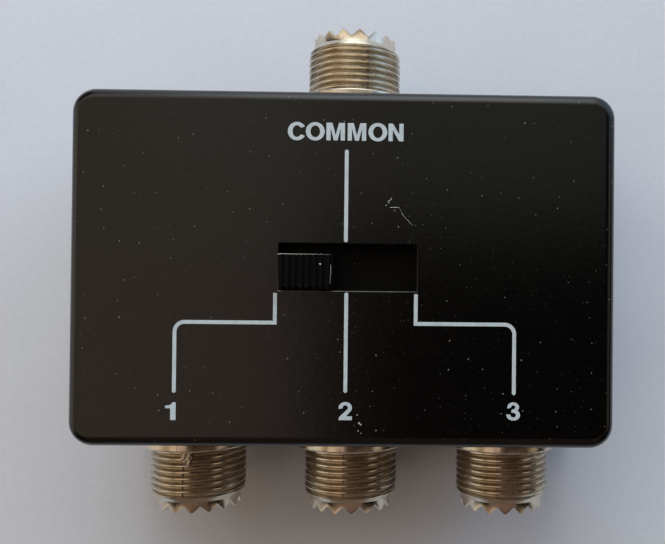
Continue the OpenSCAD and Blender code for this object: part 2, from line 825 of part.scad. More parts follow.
housing();
rear_cover();
cover_screws();
port_shell(0);  // shell_common
port_shell(1);  // shell_1
port_shell(2);  // shell_2
port_shell(3);  // shell_3
port_insulator(0);  // insulator_common
port_insulator(1);  // insulator_1
port_insulator(2);  // insulator_2
port_insulator(3);  // insulator_3
port_contact(0);  // contact_common
port_contact(1);  // contact_1
port_contact(2);  // contact_2
port_contact(3);  // contact_3
lock_washers();
mount_nuts();
switch_frame();
frame_screws();
slider_knob();
slider_carrier();
contact_clip();
detent_spring();
detent_balls();
terminal_board();
terminal(0, row_y, travel + head_l);  // terminal_common
terminal(-step, -row_y, head_l);  // terminal_1
terminal(0, -row_y, head_l);  // terminal_2
terminal(step, -row_y, head_l);  // terminal_3
lead(0, 0, row_y);  // lead_common
lead(1, -step, -row_y);  // lead_1
lead(2, 0, -row_y);  // lead_2
lead(3, step, -row_y);  // lead_3
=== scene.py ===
"""Coaxial antenna switch on a sheet of pale paper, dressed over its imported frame.

The frame is in metres with +Z up: the box lies on its rear cover, its face is up,
the common port is at +Y and ports 1, 2 and 3 are at -Y from left to right.
"""
import json
import logging
import math
from dataclasses import dataclass, field
from enum import Enum
from typing import Callable, Iterable, Sequence

import bmesh
import bpy
from mathutils import Matrix, Vector


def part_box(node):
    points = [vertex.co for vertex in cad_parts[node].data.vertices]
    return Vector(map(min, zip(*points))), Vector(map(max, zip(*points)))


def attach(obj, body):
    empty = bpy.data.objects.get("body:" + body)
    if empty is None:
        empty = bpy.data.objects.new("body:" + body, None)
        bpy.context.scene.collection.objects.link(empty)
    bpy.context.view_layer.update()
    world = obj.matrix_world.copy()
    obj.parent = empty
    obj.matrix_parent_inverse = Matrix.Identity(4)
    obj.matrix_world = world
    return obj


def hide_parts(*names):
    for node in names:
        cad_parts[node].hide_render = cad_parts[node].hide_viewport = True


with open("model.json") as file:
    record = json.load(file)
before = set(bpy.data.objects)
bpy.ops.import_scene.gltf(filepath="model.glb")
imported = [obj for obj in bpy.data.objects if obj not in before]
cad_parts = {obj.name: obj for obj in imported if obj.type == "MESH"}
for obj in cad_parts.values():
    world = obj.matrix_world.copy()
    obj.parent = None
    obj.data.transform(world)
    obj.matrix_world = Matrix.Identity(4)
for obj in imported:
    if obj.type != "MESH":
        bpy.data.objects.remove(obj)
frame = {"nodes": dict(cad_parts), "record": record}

MM = 0.001
CASE = "case"
SLIDER = "slider"
FULL_TURN = 2 * math.pi
log = logging.getLogger("antenna_switch")

# What pieces are described by, and what a socket is fed: another socket or a plain value.
Colour = tuple[float, float, float]
Point = tuple[float, float, float]
Pair = tuple[float, float]
Test = Callable[[Vector, Vector], bool]
Feed = bpy.types.NodeSocket | Vector | tuple | float

# Sockets of a Mix node that is set to colours, and the bands that noise is read in.
MIX_SHARE, MIX_FIRST, MIX_SECOND, MIX_RESULT = 0, 6, 7, 2
FINE_BAND = (0.3, 0.7)
SLOW_BAND = (0.35, 0.65)

# A direction's part along an axis, past which it counts as along it or as across it.
ALONG, ACROSS = 0.9, 0.1


class Select(Enum):
    """What a pick in edit mode selects."""

    VERTS = "VERT"
    EDGES = "EDGE"
    FACES = "FACE"


# ---------------------------------------------------------------- modelling bench


class Bench:
    """Modelling by operators, on one piece at a time."""

    @staticmethod
    def clear() -> None:
        """Deselects everything, in object mode."""
        if bpy.context.object and bpy.context.object.mode != "OBJECT":
            bpy.ops.object.mode_set(mode="OBJECT")
        bpy.ops.object.select_all(action="DESELECT")

    @staticmethod
    def take(*objs: bpy.types.Object) -> None:
        """Selects the given objects alone, and makes the first one active.

        Args:
            *objs: The objects. Operators then act on them.
        """
        Bench.clear()
        for obj in objs:
            obj.select_set(True)
        bpy.context.view_layer.objects.active = objs[0]

    @staticmethod
    def named(name: str) -> bpy.types.Object:
        """Names the object that an operator has just added.

        Args:
            name: The name of the object and its mesh.

        Returns:
            The object.
        """
        obj = bpy.context.object
        obj.name = name
        obj.data.name = name
        return obj

    @staticmethod
    def block(name: str, low: Point, high: Point) -> bpy.types.Object:
        """Adds a box between two corners.

        Args:
            name: The new piece's name.
            low: The lowest corner, in metres.
            high: The highest corner, in metres.

        Returns:
            The new object, with its place in its mesh.
        """
        Bench.clear()
        middle = [(a + b) / 2 for a, b in zip(low, high)]
        size = [b - a for a, b in zip(low, high)]
        bpy.ops.mesh.primitive_cube_add(size=1, location=middle, scale=size)
        obj = Bench.named(name)
        Bench.settle(obj)
        return obj

    @staticmethod
    def disc(name: str, radius: float, depth: float, centre: Point, sides: int,
             turn: Point = (0, 0, 0)) -> bpy.types.Object:
        """Adds a round bar about its centre.

        Args:
            name: The new piece's name.
            radius: Its radius, in metres.
            depth: Its length, in metres.
            centre: Its middle, in metres.
            sides: The number of its sides.
            turn: Its Euler angles, in radians.

        Returns:
            The new object, with its place in its mesh.
        """
        Bench.clear()
        bpy.ops.mesh.primitive_cylinder_add(vertices=sides, radius=radius, depth=depth,
                                            location=centre, rotation=turn)
        obj = Bench.named(name)
        Bench.settle(obj)
        return obj

    @staticmethod
    def settle(obj: bpy.types.Object) -> None:
        """Puts an object's place, turn and scale into its mesh."""
        Bench.take(obj)
        bpy.ops.object.transform_apply(location=True, rotation=True, scale=True)

    @staticmethod
    def edit(obj: bpy.types.Object, kind: Select, test: Test | None = None) -> None:
        """Enters edit mode with some elements selected.

        Args:
            obj: The object to edit.
            kind: What is tested and selected.
            test: Takes an element's middle and its normal or direction, and says whether
                it is selected. None selects nothing.
        """
        Bench.take(obj)
        bpy.ops.object.mode_set(mode="EDIT")
        bpy.ops.mesh.select_mode(type=kind.value)
        bpy.ops.mesh.select_all(action="DESELECT")
        Bench.pick(kind, test)

    @staticmethod
    def edit_all(obj: bpy.types.Object) -> None:
        """Enters edit mode with everything selected.

        Args:
            obj: The object to edit.
        """
        Bench.take(obj)
        bpy.ops.object.mode_set(mode="EDIT")
        bpy.ops.mesh.select_all(action="SELECT")

    @staticmethod
    def pick(kind: Select, test: Test | None) -> None:
        """Selects elements by their place, in edit mode.

        Args:
            kind: What is tested and selected.
            test: As in edit().
        """
        if test is None:
            return
        mesh = bpy.context.object.data
        work = bmesh.from_edit_mesh(mesh)
        if kind is Select.FACES:
            for face in work.faces:
                face.select_set(test(face.calc_center_median(), face.normal))
        elif kind is Select.EDGES:
            for edge in work.edges:
                a, b = (v.co for v in edge.verts)
                edge.select_set(test((a + b) / 2, (b - a).normalized()))
        else:
            for vert in work.verts:
                vert.select_set(test(vert.co, vert.normal))
        bmesh.update_edit_mesh(mesh)

    @staticmethod
    def done() -> None:
        """Leaves edit mode."""
        bpy.ops.object.mode_set(mode="OBJECT")

    @staticmethod
    def modify(obj: bpy.types.Object, kind: str, **settings: object) -> None:
        """Adds a modifier with its settings, and applies it.

        Args:
            obj: The object.
            kind: The modifier's type name.
            **settings: The modifier's own settings.
        """
        Bench.take(obj)
        mod = obj.modifiers.new(kind.lower(), kind)
        for key, value in settings.items():
            setattr(mod, key, value)
        bpy.ops.object.modifier_apply(modifier=mod.name)

    @staticmethod
    def bevel(obj: bpy.types.Object, radius: float, segments: int, test: Test) -> None:
        """Rounds the edges that a test picks.

        Args:
            obj: The object.
            radius: The rounding's radius, in metres.
            segments: The number of its steps.
            test: As in edit().
        """
        Bench.edit(obj, Select.EDGES, test)
        bpy.ops.mesh.bevel(offset=radius, segments=segments, profile=0.5, affect="EDGES",
                           clamp_overlap=False)
        Bench.done()

    @staticmethod
    def soften(obj: bpy.types.Object, radius: float, segments: int = 2, angle: float = 30) -> None:
        """Rounds every edge sharper than an angle in degrees."""
        Bench.modify(obj, "BEVEL", width=radius, segments=segments, limit_method="ANGLE",
                     angle_limit=math.radians(angle), harden_normals=False)

    @staticmethod
    def carve(obj: bpy.types.Object, cutters: Sequence[bpy.types.Object]) -> None:
        """Cuts other solids out of an object, and removes them.

        Args:
            obj: The object to cut.
            cutters: The solids that leave their shape in it.
        """
        for cutter in cutters:
            Bench.modify(obj, "BOOLEAN", operation="DIFFERENCE", solver="EXACT", object=cutter)
            Bench.drop(cutter)

    @staticmethod
    def drop(obj: bpy.types.Object) -> None:
        """Removes an object that was only a tool or a pattern."""
        bpy.data.objects.remove(obj, do_unlink=True)

    @staticmethod
    def join(obj: bpy.types.Object, others: Sequence[bpy.types.Object]) -> None:
        """Joins other objects' meshes into an object.

        Args:
            obj: The object that takes the others in.
            others: The objects that end in it.
        """
        if others:
            Bench.take(obj, *others)
            bpy.ops.object.join()

    @staticmethod
    def clean(obj: bpy.types.Object, gap: float = 0.001 * MM) -> None:
        """Merges doubles and turns every face outwards.

        Args:
            obj: The object.
            gap: How near two points are doubles, in metres.
        """
        Bench.edit_all(obj)
        bpy.ops.mesh.remove_doubles(threshold=gap)
        bpy.ops.mesh.normals_make_consistent(inside=False)
        Bench.done()

    @staticmethod
    def smooth(obj: bpy.types.Object, angle: float = 35, even: bool = False) -> None:
        """Shades smooth across edges flatter than an angle, in degrees.

        Args:
            obj: The object.
            angle: The flattest angle that stays sharp.
            even: Whether broad faces stay flat beside narrow rounded ones.
        """
        Bench.take(obj)
        bpy.ops.object.shade_smooth_by_angle(angle=math.radians(angle))
        if even:
            Bench.modify(obj, "WEIGHTED_NORMAL", keep_sharp=True, weight=100)

    @staticmethod
    def turned(name: str, outline: Sequence[Pair], sides: int) -> bpy.types.Object:
        """Turns a closed ring about Z, a ring of points at a time, as on a lathe.

        Args:
            name: The new piece's name.
            outline: Radius and height of each corner, in metres, around the section.
            sides: The number of sides around the axis.

        Returns:
            The closed, turned object.
        """
        Bench.clear()
        radius, height = outline[0]
        bpy.ops.mesh.primitive_circle_add(vertices=sides, radius=radius, location=(0, 0, height))
        obj = Bench.named(name)
        Bench.settle(obj)
        Bench.take(obj)
        bpy.ops.object.mode_set(mode="EDIT")
        bpy.ops.mesh.select_mode(type="VERT")
        bpy.ops.mesh.select_all(action="SELECT")
        for next_radius, next_height in list(outline[1:]) + [outline[0]]:
            bpy.ops.mesh.extrude_region_move(
                TRANSFORM_OT_translate={"value": (0, 0, next_height - height)})
            scale = next_radius / radius
            bpy.ops.transform.resize(value=(scale, scale, 1), center_override=(0, 0, next_height))
            radius, height = next_radius, next_height
        Bench.done()
        Bench.clean(obj)
        return obj

    @staticmethod
    def copy(obj: bpy.types.Object, name: str, place: Matrix) -> bpy.types.Object:
        """Copies a piece with its own mesh to a new place.

        Args:
            obj: The piece to copy.
            name: The copy's name.
            place: The turn and move, put into the copy's mesh.

        Returns:
            The copy, with its object at the origin.
        """
        Bench.take(obj)
        bpy.ops.object.duplicate(linked=False)
        twin = Bench.named(name)
        twin.matrix_world = place
        Bench.settle(twin)
        return twin


# ---------------------------------------------------------------- material tools


class Web:
    """A node tree under construction."""

    def __init__(self, tree: bpy.types.NodeTree) -> None:
        """Starts on an empty tree.

        Args:
            tree: The tree to build in. Its nodes are removed first.
        """
        self.tree = tree
        tree.nodes.clear()
        self.column = 0

    def add(self, kind: str, inputs: dict | None = None, **settings: object) -> bpy.types.Node:
        """Adds a node.

        Args:
            kind: The node's type name.
            inputs: Values or sockets, by the input's name or number.
            **settings: The node's own settings.

        Returns:
            The new node.
        """
        node = self.tree.nodes.new(kind)
        node.location = (self.column * 60, -(self.column % 7) * 120)
        self.column += 1
        for key, value in settings.items():
            setattr(node, key, value)
        for key, value in (inputs or {}).items():
            self.feed(node.inputs[key], value)
        return node

    def feed(self, socket: bpy.types.NodeSocket, value: Feed) -> None:
        """Links a socket to an input, or sets the input's own value.

        Args:
            socket: The input.
            value: The output to link, or a plain value.
        """
        if isinstance(value, bpy.types.NodeSocket):
            self.tree.links.new(value, socket)
        else:
            socket.default_value = value

    def maths(self, operation: str, *values: Feed, clamp: bool = False) -> bpy.types.NodeSocket:
        """Adds a Math node and returns its output."""
        node = self.add("ShaderNodeMath", dict(enumerate(values)), operation=operation,
                        use_clamp=clamp)
        return node.outputs[0]

    def spread(self, value: Feed, low: float, high: float, to_low: float = 0,
               to_high: float = 1) -> bpy.types.NodeSocket:
        """Maps a range smoothly onto another.

        Args:
            value: What is mapped.
            low: The range's start.
            high: Its end. Past both ends the result stays the same.
            to_low: The result at the start.
            to_high: The result at the end.

        Returns:
            The mapped value.
        """
        limits = {0: value, 1: low, 2: high, 3: to_low, 4: to_high}
        node = self.add("ShaderNodeMapRange", limits, interpolation_type="SMOOTHSTEP")
        return node.outputs[0]

    def mix(self, share: Feed, first: Feed, second: Feed) -> bpy.types.NodeSocket:
        """Mixes two colours.

        Args:
            share: The second colour's share.
            first: A colour or a socket.
            second: A colour or a socket.

        Returns:
            The mixed colour.
        """
        node = self.add("ShaderNodeMix", data_type="RGBA")
        self.feed(node.inputs[MIX_SHARE], share)
        for place, colour in ((MIX_FIRST, first), (MIX_SECOND, second)):
            self.feed(node.inputs[place], (*colour, 1) if isinstance(colour, tuple) else colour)
        return node.outputs[MIX_RESULT]

    def noise(self, vector: Feed, scale: Feed, detail: float = 3,
              roughness: float = 0.5) -> bpy.types.NodeSocket:
        """Adds a noise texture and returns its factor."""
        inputs = {"Vector": vector, "Scale": scale, "Detail": detail, "Roughness": roughness}
        return self.add("ShaderNodeTexNoise", inputs).outputs[0]

    def bump(self, distance: float, height: Feed) -> bpy.types.NodeSocket:
        """Adds relief of a given depth in metres, and returns its normal."""
        inputs = {"Strength": 1.0, "Distance": distance, "Height": height}
        return self.add("ShaderNodeBump", inputs).outputs[0]

    def place(self) -> bpy.types.NodeSocket:
        """Returns object coordinates, in metres."""
        return self.add("ShaderNodeTexCoord").outputs["Object"]

    def axes(self, vector: Feed) -> tuple[bpy.types.NodeSocket, ...]:
        """Splits a vector into its three parts."""
        return tuple(self.add("ShaderNodeSeparateXYZ", {0: vector}).outputs)


@dataclass(frozen=True)
class Effect:
    """A named effect that several materials share."""

    name: str
    inputs: tuple[tuple[str, str, float], ...]
    outputs: tuple[tuple[str, str], ...]
    build: Callable[[Web, bpy.types.Node, bpy.types.Node], None]

    def tree(self) -> bpy.types.NodeTree:
        """Builds the effect's node group at its first use.

        Returns:
            The node group, which its materials share.
        """
        found = bpy.data.node_groups.get(self.name)
        if found:
            return found
        group = bpy.data.node_groups.new(self.name, "ShaderNodeTree")
        for name, kind, value in self.inputs:
            socket = group.interface.new_socket(name=name, in_out="INPUT", socket_type=kind)
            if kind == "NodeSocketFloat":
                socket.default_value = value
        for name, kind in self.outputs:
            group.interface.new_socket(name=name, in_out="OUTPUT", socket_type=kind)
        web = Web(group)
        self.build(web, web.add("NodeGroupInput"), web.add("NodeGroupOutput"))
        return group

    def use(self, web: Web, inputs: dict) -> bpy.types.Node:
        """Places the effect in a material with its own values.

        Args:
            web: The material's nodes.
            inputs: Values or sockets, by the input's name.

        Returns:
            The placed group.
        """
        node = web.add("ShaderNodeGroup")
        node.node_tree = self.tree()
        for key, value in inputs.items():
            web.feed(node.inputs[key], value)
        return node


def build_specks(web: Web, start: bpy.types.Node, end: bpy.types.Node) -> None:
    """Dust: small uneven specks, one at most in each cell.

    Args:
        web: The group's nodes.
        start: The group's inputs.
        end: The group's outputs.
    """
    wobble_scale, edge = 9000.0, 0.02
    smallest, faintest, ragged = 0.35, 0.15, (0.4, 1.5)
    place = start.outputs["Place"]
    wobble = web.noise(place, wobble_scale, 2, 0.5)
    inputs = {"Vector": place, "Scale": start.outputs["Scale"], "Randomness": 1.0}
    cells = web.add("ShaderNodeTexVoronoi", inputs, voronoi_dimensions="2D")
    large, drawn, strong = web.add("ShaderNodeSeparateColor", {0: cells.outputs["Color"]}).outputs
    size = web.maths("MULTIPLY", web.spread(large, 0.0, 1.0, smallest, 1.0), start.outputs["Size"])
    reach = web.maths("MULTIPLY", size, web.spread(wobble, *FINE_BAND, *ragged))
    shown = web.maths("LESS_THAN", drawn, start.outputs["Share"])
    inside = web.spread(web.maths("SUBTRACT", reach, cells.outputs["Distance"]), 0.0, edge)
    weight = web.spread(strong, 0.0, 1.0, faintest, 1.0)
    mask = web.maths("MULTIPLY", web.maths("MULTIPLY", inside, shown), weight)
    web.feed(end.inputs["Mask"], mask)


def build_grain(web: Web, start: bpy.types.Node, end: bpy.types.Node) -> None:
    """Surface grain: fine noise over a slow waviness.

    Args:
        web: The group's nodes.
        start: The group's inputs.
        end: The group's outputs.
    """
    slow_share = 0.06
    fine = web.noise(start.outputs["Place"], start.outputs["Scale"], 4, 0.6)
    slow_scale = web.maths("MULTIPLY", start.outputs["Scale"], slow_share)
    slow = web.noise(start.outputs["Place"], slow_scale, 2, 0.5)
    web.feed(end.inputs["Fine"], fine)
    web.feed(end.inputs["Slow"], slow)


SPECKS = Effect("dust_specks",
                (("Place", "NodeSocketVector", 0), ("Scale", "NodeSocketFloat", 400),
                 ("Size", "NodeSocketFloat", 0.05), ("Share", "NodeSocketFloat", 0.3)),
                (("Mask", "NodeSocketFloat"),), build_specks)
GRAIN = Effect("surface_grain",
               (("Place", "NodeSocketVector", 0), ("Scale", "NodeSocketFloat", 2000)),
               (("Fine", "NodeSocketFloat"), ("Slow", "NodeSocketFloat")), build_grain)


@dataclass(frozen=True)
class Finish:
    """A finish of one of the object's materials.

    Attributes:
        name: The material's name.
        colour: Its main colour.
        second: The colour of its slow or worn patches.
        roughness: Its least and its greatest roughness.
        metallic: 1 for a metal.
        grain: The grain's waves to a metre.
        bump: The grain's depth, in metres.
        dust: The share of the cells that hold a speck.
        dust_colour: The specks' colour.
        specular: The strength of its reflections.
        specks: The dust's cells to a metre, and a speck's size in cells.
    """

    name: str
    colour: Colour
    second: Colour
    roughness: Pair
    metallic: float = 0.0
    grain: float = 2500
    bump: float = 0.02 * MM
    dust: float = 0.0
    dust_colour: Colour = (0.45, 0.42, 0.38)
    specular: float = 0.5
    specks: Pair = (1100.0, 0.07)

    def start(self) -> tuple[bpy.types.Material, Web, bpy.types.Node]:
        """Starts a new material.

        Returns:
            The material, its nodes, and its shader with the output in place.
        """
        material = bpy.data.materials.new(self.name)
        material.use_nodes = True
        material.diffuse_color = (*self.colour, 1)
        web = Web(material.node_tree)
        inputs = {"Metallic": self.metallic, "Specular IOR Level": self.specular}
        shader = web.add("ShaderNodeBsdfPrincipled", inputs)
        web.add("ShaderNodeOutputMaterial", {"Surface": shader.outputs[0]})
        return material, web, shader

    def surface(self, web: Web, shader: bpy.types.Node, colour: Feed, rough: Feed,
                height: Feed) -> None:
        """Feeds a shader what changes over the surface.

        Args:
            web: The material's nodes.
            shader: The shader.
            colour: The surface's colour.
            rough: Its roughness.
            height: Its relief, as a share of the finish's bump.
        """
        web.feed(shader.inputs["Base Color"], colour)
        web.feed(shader.inputs["Roughness"], rough)
        web.feed(shader.inputs["Normal"], web.bump(self.bump, height))

    def dusted(self, web: Web, place: Feed, specks: Pair,
               share: float) -> bpy.types.NodeSocket:
        """Places one layer of dust.

        Args:
            web: The material's nodes.
            place: Object coordinates.
            specks: The dust's cells to a metre, and a speck's size in cells.
            share: The share of the cells that hold a speck.

        Returns:
            The dust's mask.
        """
        scale, size = specks
        inputs = {"Place": place, "Scale": scale, "Size": size, "Share": share}
        return SPECKS.use(web, inputs).outputs["Mask"]

    def material(self) -> bpy.types.Material:
        """Returns the finish's material, built at its first use."""
        return bpy.data.materials.get(self.name) or self.build()

    def build(self) -> bpy.types.Material:
        """Builds a grained surface with slow colour changes and dust.

        Returns:
            The finished material.
        """
        material, web, shader = self.start()
        place = web.place()
        grain = GRAIN.use(web, {"Place": place, "Scale": self.grain})
        colour = web.mix(web.spread(grain.outputs["Slow"], *SLOW_BAND), self.colour, self.second)
        rough = web.spread(grain.outputs["Fine"], *FINE_BAND, *self.roughness)
        if self.dust:
            mask = self.dusted(web, place, self.specks, self.dust)
            colour = web.mix(mask, colour, self.dust_colour)
        self.surface(web, shader, colour, rough, grain.outputs["Fine"])
        return material


@dataclass(frozen=True)
class CasePaint(Finish):
    """Satin black paint with a fine texture, and dust on what faces up.

    Attributes:
        fine_specks: The finer dust, as in specks.
        fine_share: The finer dust's share of the cells, as a part of dust.
        fine_weight: How much of the finer dust shows.
        peel: The orange peel's waves to a metre.
        dust_rough: How much rougher the dust is.
        dust_height: The dust's height, as a share of the bump.
        grain_height: The grain's height, as a share of the bump.
        level: How far up a surface looks where its dust starts, and where it is full.
    """

    specks: Pair = (360.0, 0.045)
    fine_specks: Pair = (1000.0, 0.06)
    fine_share: float = 0.7
    fine_weight: float = 0.45
    peel: float = 900
    dust_rough: float = 0.4
    dust_height: float = 0.8
    grain_height: float = 0.4
    level: Pair = (0.5, 0.95)

    def build(self) -> bpy.types.Material:
        """Builds the paint with its orange peel and its dust.

        Returns:
            The finished material.
        """
        material, web, shader = self.start()
        place = web.place()
        grain = GRAIN.use(web, {"Place": place, "Scale": self.grain})
        orange_peel = web.noise(place, self.peel, 2, 0.5)
        colour = web.mix(web.spread(grain.outputs["Slow"], *SLOW_BAND), self.colour, self.second)
        coarse = self.dusted(web, place, self.specks, self.dust)
        fine = self.dusted(web, place, self.fine_specks, self.dust * self.fine_share)
        up = web.axes(web.add("ShaderNodeNewGeometry").outputs["Normal"])[2]
        mask = web.maths("MAXIMUM", coarse, web.maths("MULTIPLY", fine, self.fine_weight))
        mask = web.maths("MULTIPLY", mask, web.spread(up, *self.level))
        rough = web.spread(grain.outputs["Fine"], *FINE_BAND, *self.roughness)
        rough = web.maths("ADD", rough, web.maths("MULTIPLY", mask, self.dust_rough), clamp=True)
        relief = web.maths("ADD", orange_peel, web.maths("MULTIPLY", mask, self.dust_height))
        fine_relief = web.maths("MULTIPLY", grain.outputs["Fine"], self.grain_height)
        self.surface(web, shader, web.mix(mask, colour, self.dust_colour), rough,
                     web.maths("ADD", fine_relief, relief))
        return material


@dataclass(frozen=True)
class Plating(Finish):
    """Bright nickel over a casting, dull in the hollows, where a darker brown colour is painted
    shade between the thread's ridges.
    """

    # The colour deep between the thread's ridges: painted shade.
    hollow: Colour = (0.44, 0.35, 0.235)
    hollow_rough: float = 0.25
    stain_scale: float = 320
    stain_rough: float = 0.12

    def build(self) -> bpy.types.Material:
        """Builds the plating with its stains, its dull hollows and the painted shade in them.

        Returns:
            The finished material.
        """
        material, web, shader = self.start()
        place = web.place()
        grain = GRAIN.use(web, {"Place": place, "Scale": self.grain})
        stain = web.noise(place, self.stain_scale, 5, 0.62)
        # Deep between the ridges the colour turns darker brown: painted shade.
        hollow = web.add("ShaderNodeAttribute", attribute_name="hollow").outputs["Fac"]
        hollow = web.maths("MULTIPLY", hollow, web.spread(stain, 0.25, 0.6, 0.7, 1.0))
        colour = web.mix(web.spread(stain, 0.42, 0.68), self.colour, self.second)
        rough = web.maths("ADD", web.spread(grain.outputs["Fine"], *FINE_BAND, *self.roughness),
                          web.spread(stain, 0.5, 0.8, 0.0, self.stain_rough), clamp=True)
        dulled = web.maths("MULTIPLY", hollow, self.hollow_rough)
        rough = web.maths("ADD", rough, dulled, clamp=True)
        height = web.maths("ADD", grain.outputs["Fine"],
                           web.maths("MULTIPLY", grain.outputs["Slow"], 2.0))
        self.surface(web, shader, web.mix(hollow, colour, self.hollow), rough, height)
        return material


@dataclass(frozen=True)
class PrintInk(Finish):
    """Pale screen-printed ink with a slightly broken cover."""

    wear_scale: float = 2600
    patch_scale: float = 500
    patch_depth: float = 0.25

    def build(self) -> bpy.types.Material:
        """Builds the ink with worn pinholes and faint patches.

        Returns:
            The finished material.
        """
        material, web, shader = self.start()
        place = web.place()
        wear = web.noise(place, self.wear_scale, 3, 0.6)
        patches = web.noise(place, self.patch_scale, 2, 0.5)
        colour = web.mix(web.spread(wear, 0.6, 0.74), self.colour, self.second)
        faint = web.spread(patches, 0.4, 0.75, 0.0, self.patch_depth)
        self.surface(web, shader, web.mix(faint, colour, self.second),
                     web.spread(wear, *FINE_BAND, *self.roughness), wear)
        return material


class Finishes:
    """The finishes of the switch, by the record's material slots."""

    paint = CasePaint("black_case_paint", (0.0016, 0.0014, 0.0012), (0.0012, 0.0010, 0.0009),
                      (0.16, 0.23), grain=3800, bump=0.009 * MM, dust=0.55,
                      dust_colour=(0.21, 0.20, 0.18))
    # A lighter colour for the window rim's lower edge: a painted highlight.
    window_highlight = Finish("painted_window_highlight", (0.30, 0.27, 0.23), (0.02, 0.018, 0.016),
                  (0.35, 0.5), 0.0, 1400, 0.01 * MM)
    # Pale lint; along the knob's edges the same colour also paints a highlight.
    lint = Finish("pale_lint_and_highlight", (0.62, 0.60, 0.54), (0.42, 0.40, 0.36),
                  (0.8, 0.95), 0.0, 3000, 0.01 * MM)
    nickel = Plating("nickel_plating", (0.72, 0.65, 0.54), (0.55, 0.46, 0.34),
                     (0.16, 0.26), 1.0, 1600, 0.003 * MM)
    # A darker brown colour than the plating, on the parting line's flash.
    dark_flash = Plating("dark_parting_flash", (0.36, 0.28, 0.20), (0.16, 0.12, 0.09),
                      (0.35, 0.5), 1.0, 2600, 0.003 * MM)
    skin = Plating("burr_skin", (0.60, 0.50, 0.40), (0.40, 0.30, 0.21),
                   (0.3, 0.45), 1.0, 2600, 0.006 * MM)
    zinc = Finish("zinc_steel", (0.55, 0.55, 0.56), (0.42, 0.42, 0.41),
                  (0.28, 0.45), 1.0, 3000, 0.004 * MM)
    sheet = Finish("plated_sheet", (0.56, 0.56, 0.53), (0.46, 0.44, 0.38),
                   (0.3, 0.5), 1.0, 2600, 0.006 * MM)
    spring = Finish("spring_steel", (0.62, 0.62, 0.63), (0.5, 0.5, 0.5),
                    (0.15, 0.3), 1.0, 4000, 0.002 * MM)
    brass = Finish("contact_brass", (0.78, 0.56, 0.25), (0.62, 0.42, 0.17),
                   (0.2, 0.38), 1.0, 3500, 0.004 * MM)
    copper = Finish("tinned_wire", (0.72, 0.62, 0.52), (0.66, 0.44, 0.30),
                    (0.25, 0.45), 1.0, 3500, 0.005 * MM)
    phenolic = Finish("brown_phenolic", (0.075, 0.032, 0.014), (0.045, 0.02, 0.01),
                      (0.22, 0.4), 0.0, 2600, 0.006 * MM, specular=0.55)
    board = Finish("laminate_board", (0.20, 0.095, 0.035), (0.13, 0.06, 0.022),
                   (0.4, 0.6), 0.0, 2200, 0.01 * MM)
    carrier = Finish("carrier_phenolic", (0.03, 0.018, 0.012), (0.02, 0.013, 0.01),
                     (0.4, 0.55), 0.0, 2400, 0.01 * MM)
    knob = Finish("black_knob_plastic", (0.0018, 0.0017, 0.0015), (0.0026, 0.0024, 0.0021),
                  (0.38, 0.5), 0.0, 3200, 0.008 * MM, dust=0.25,
                  dust_colour=(0.30, 0.28, 0.24), specular=0.08)
    ink = PrintInk("pale_print", (0.49, 0.56, 0.59), (0.27, 0.31, 0.33),
                   (0.45, 0.6), bump=0.004 * MM)
    by_slot = {"black_paint": paint, "nickel": nickel, "zinc_steel": zinc, "plated_sheet": sheet,
               "spring_steel": spring, "brass": brass, "copper": copper, "phenolic": phenolic,
               "board": board, "carrier_plastic": carrier, "black_plastic": knob}


def dress(obj: bpy.types.Object, finish: Finish) -> None:
    """Gives an object one finish all over."""
    obj.data.materials.clear()
    obj.data.materials.append(finish.material())


def finish_piece(obj: bpy.types.Object, body: str, finish: Finish,
                 stands_for: Iterable[str] = ()) -> None:
    """Dresses a finished piece in one finish, and settles it on its body."""
    dress(obj, finish)
    settle_piece(obj, body, stands_for)


def settle_piece(obj: bpy.types.Object, body: str,
                 stands_for: Iterable[str] = ()) -> None:
    """Lets a dressed piece ride on its body, and reports it.

    Args:
        obj: The piece.
        body: The body that it rides on.
        stands_for: The CAD nodes that it replaces.
    """
    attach(obj, body)
    if stands_for:
        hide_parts(*stands_for)
    log.info("%s: %d faces on %s", obj.name, len(obj.data.polygons), body)


# ---------------------------------------------------------------- case


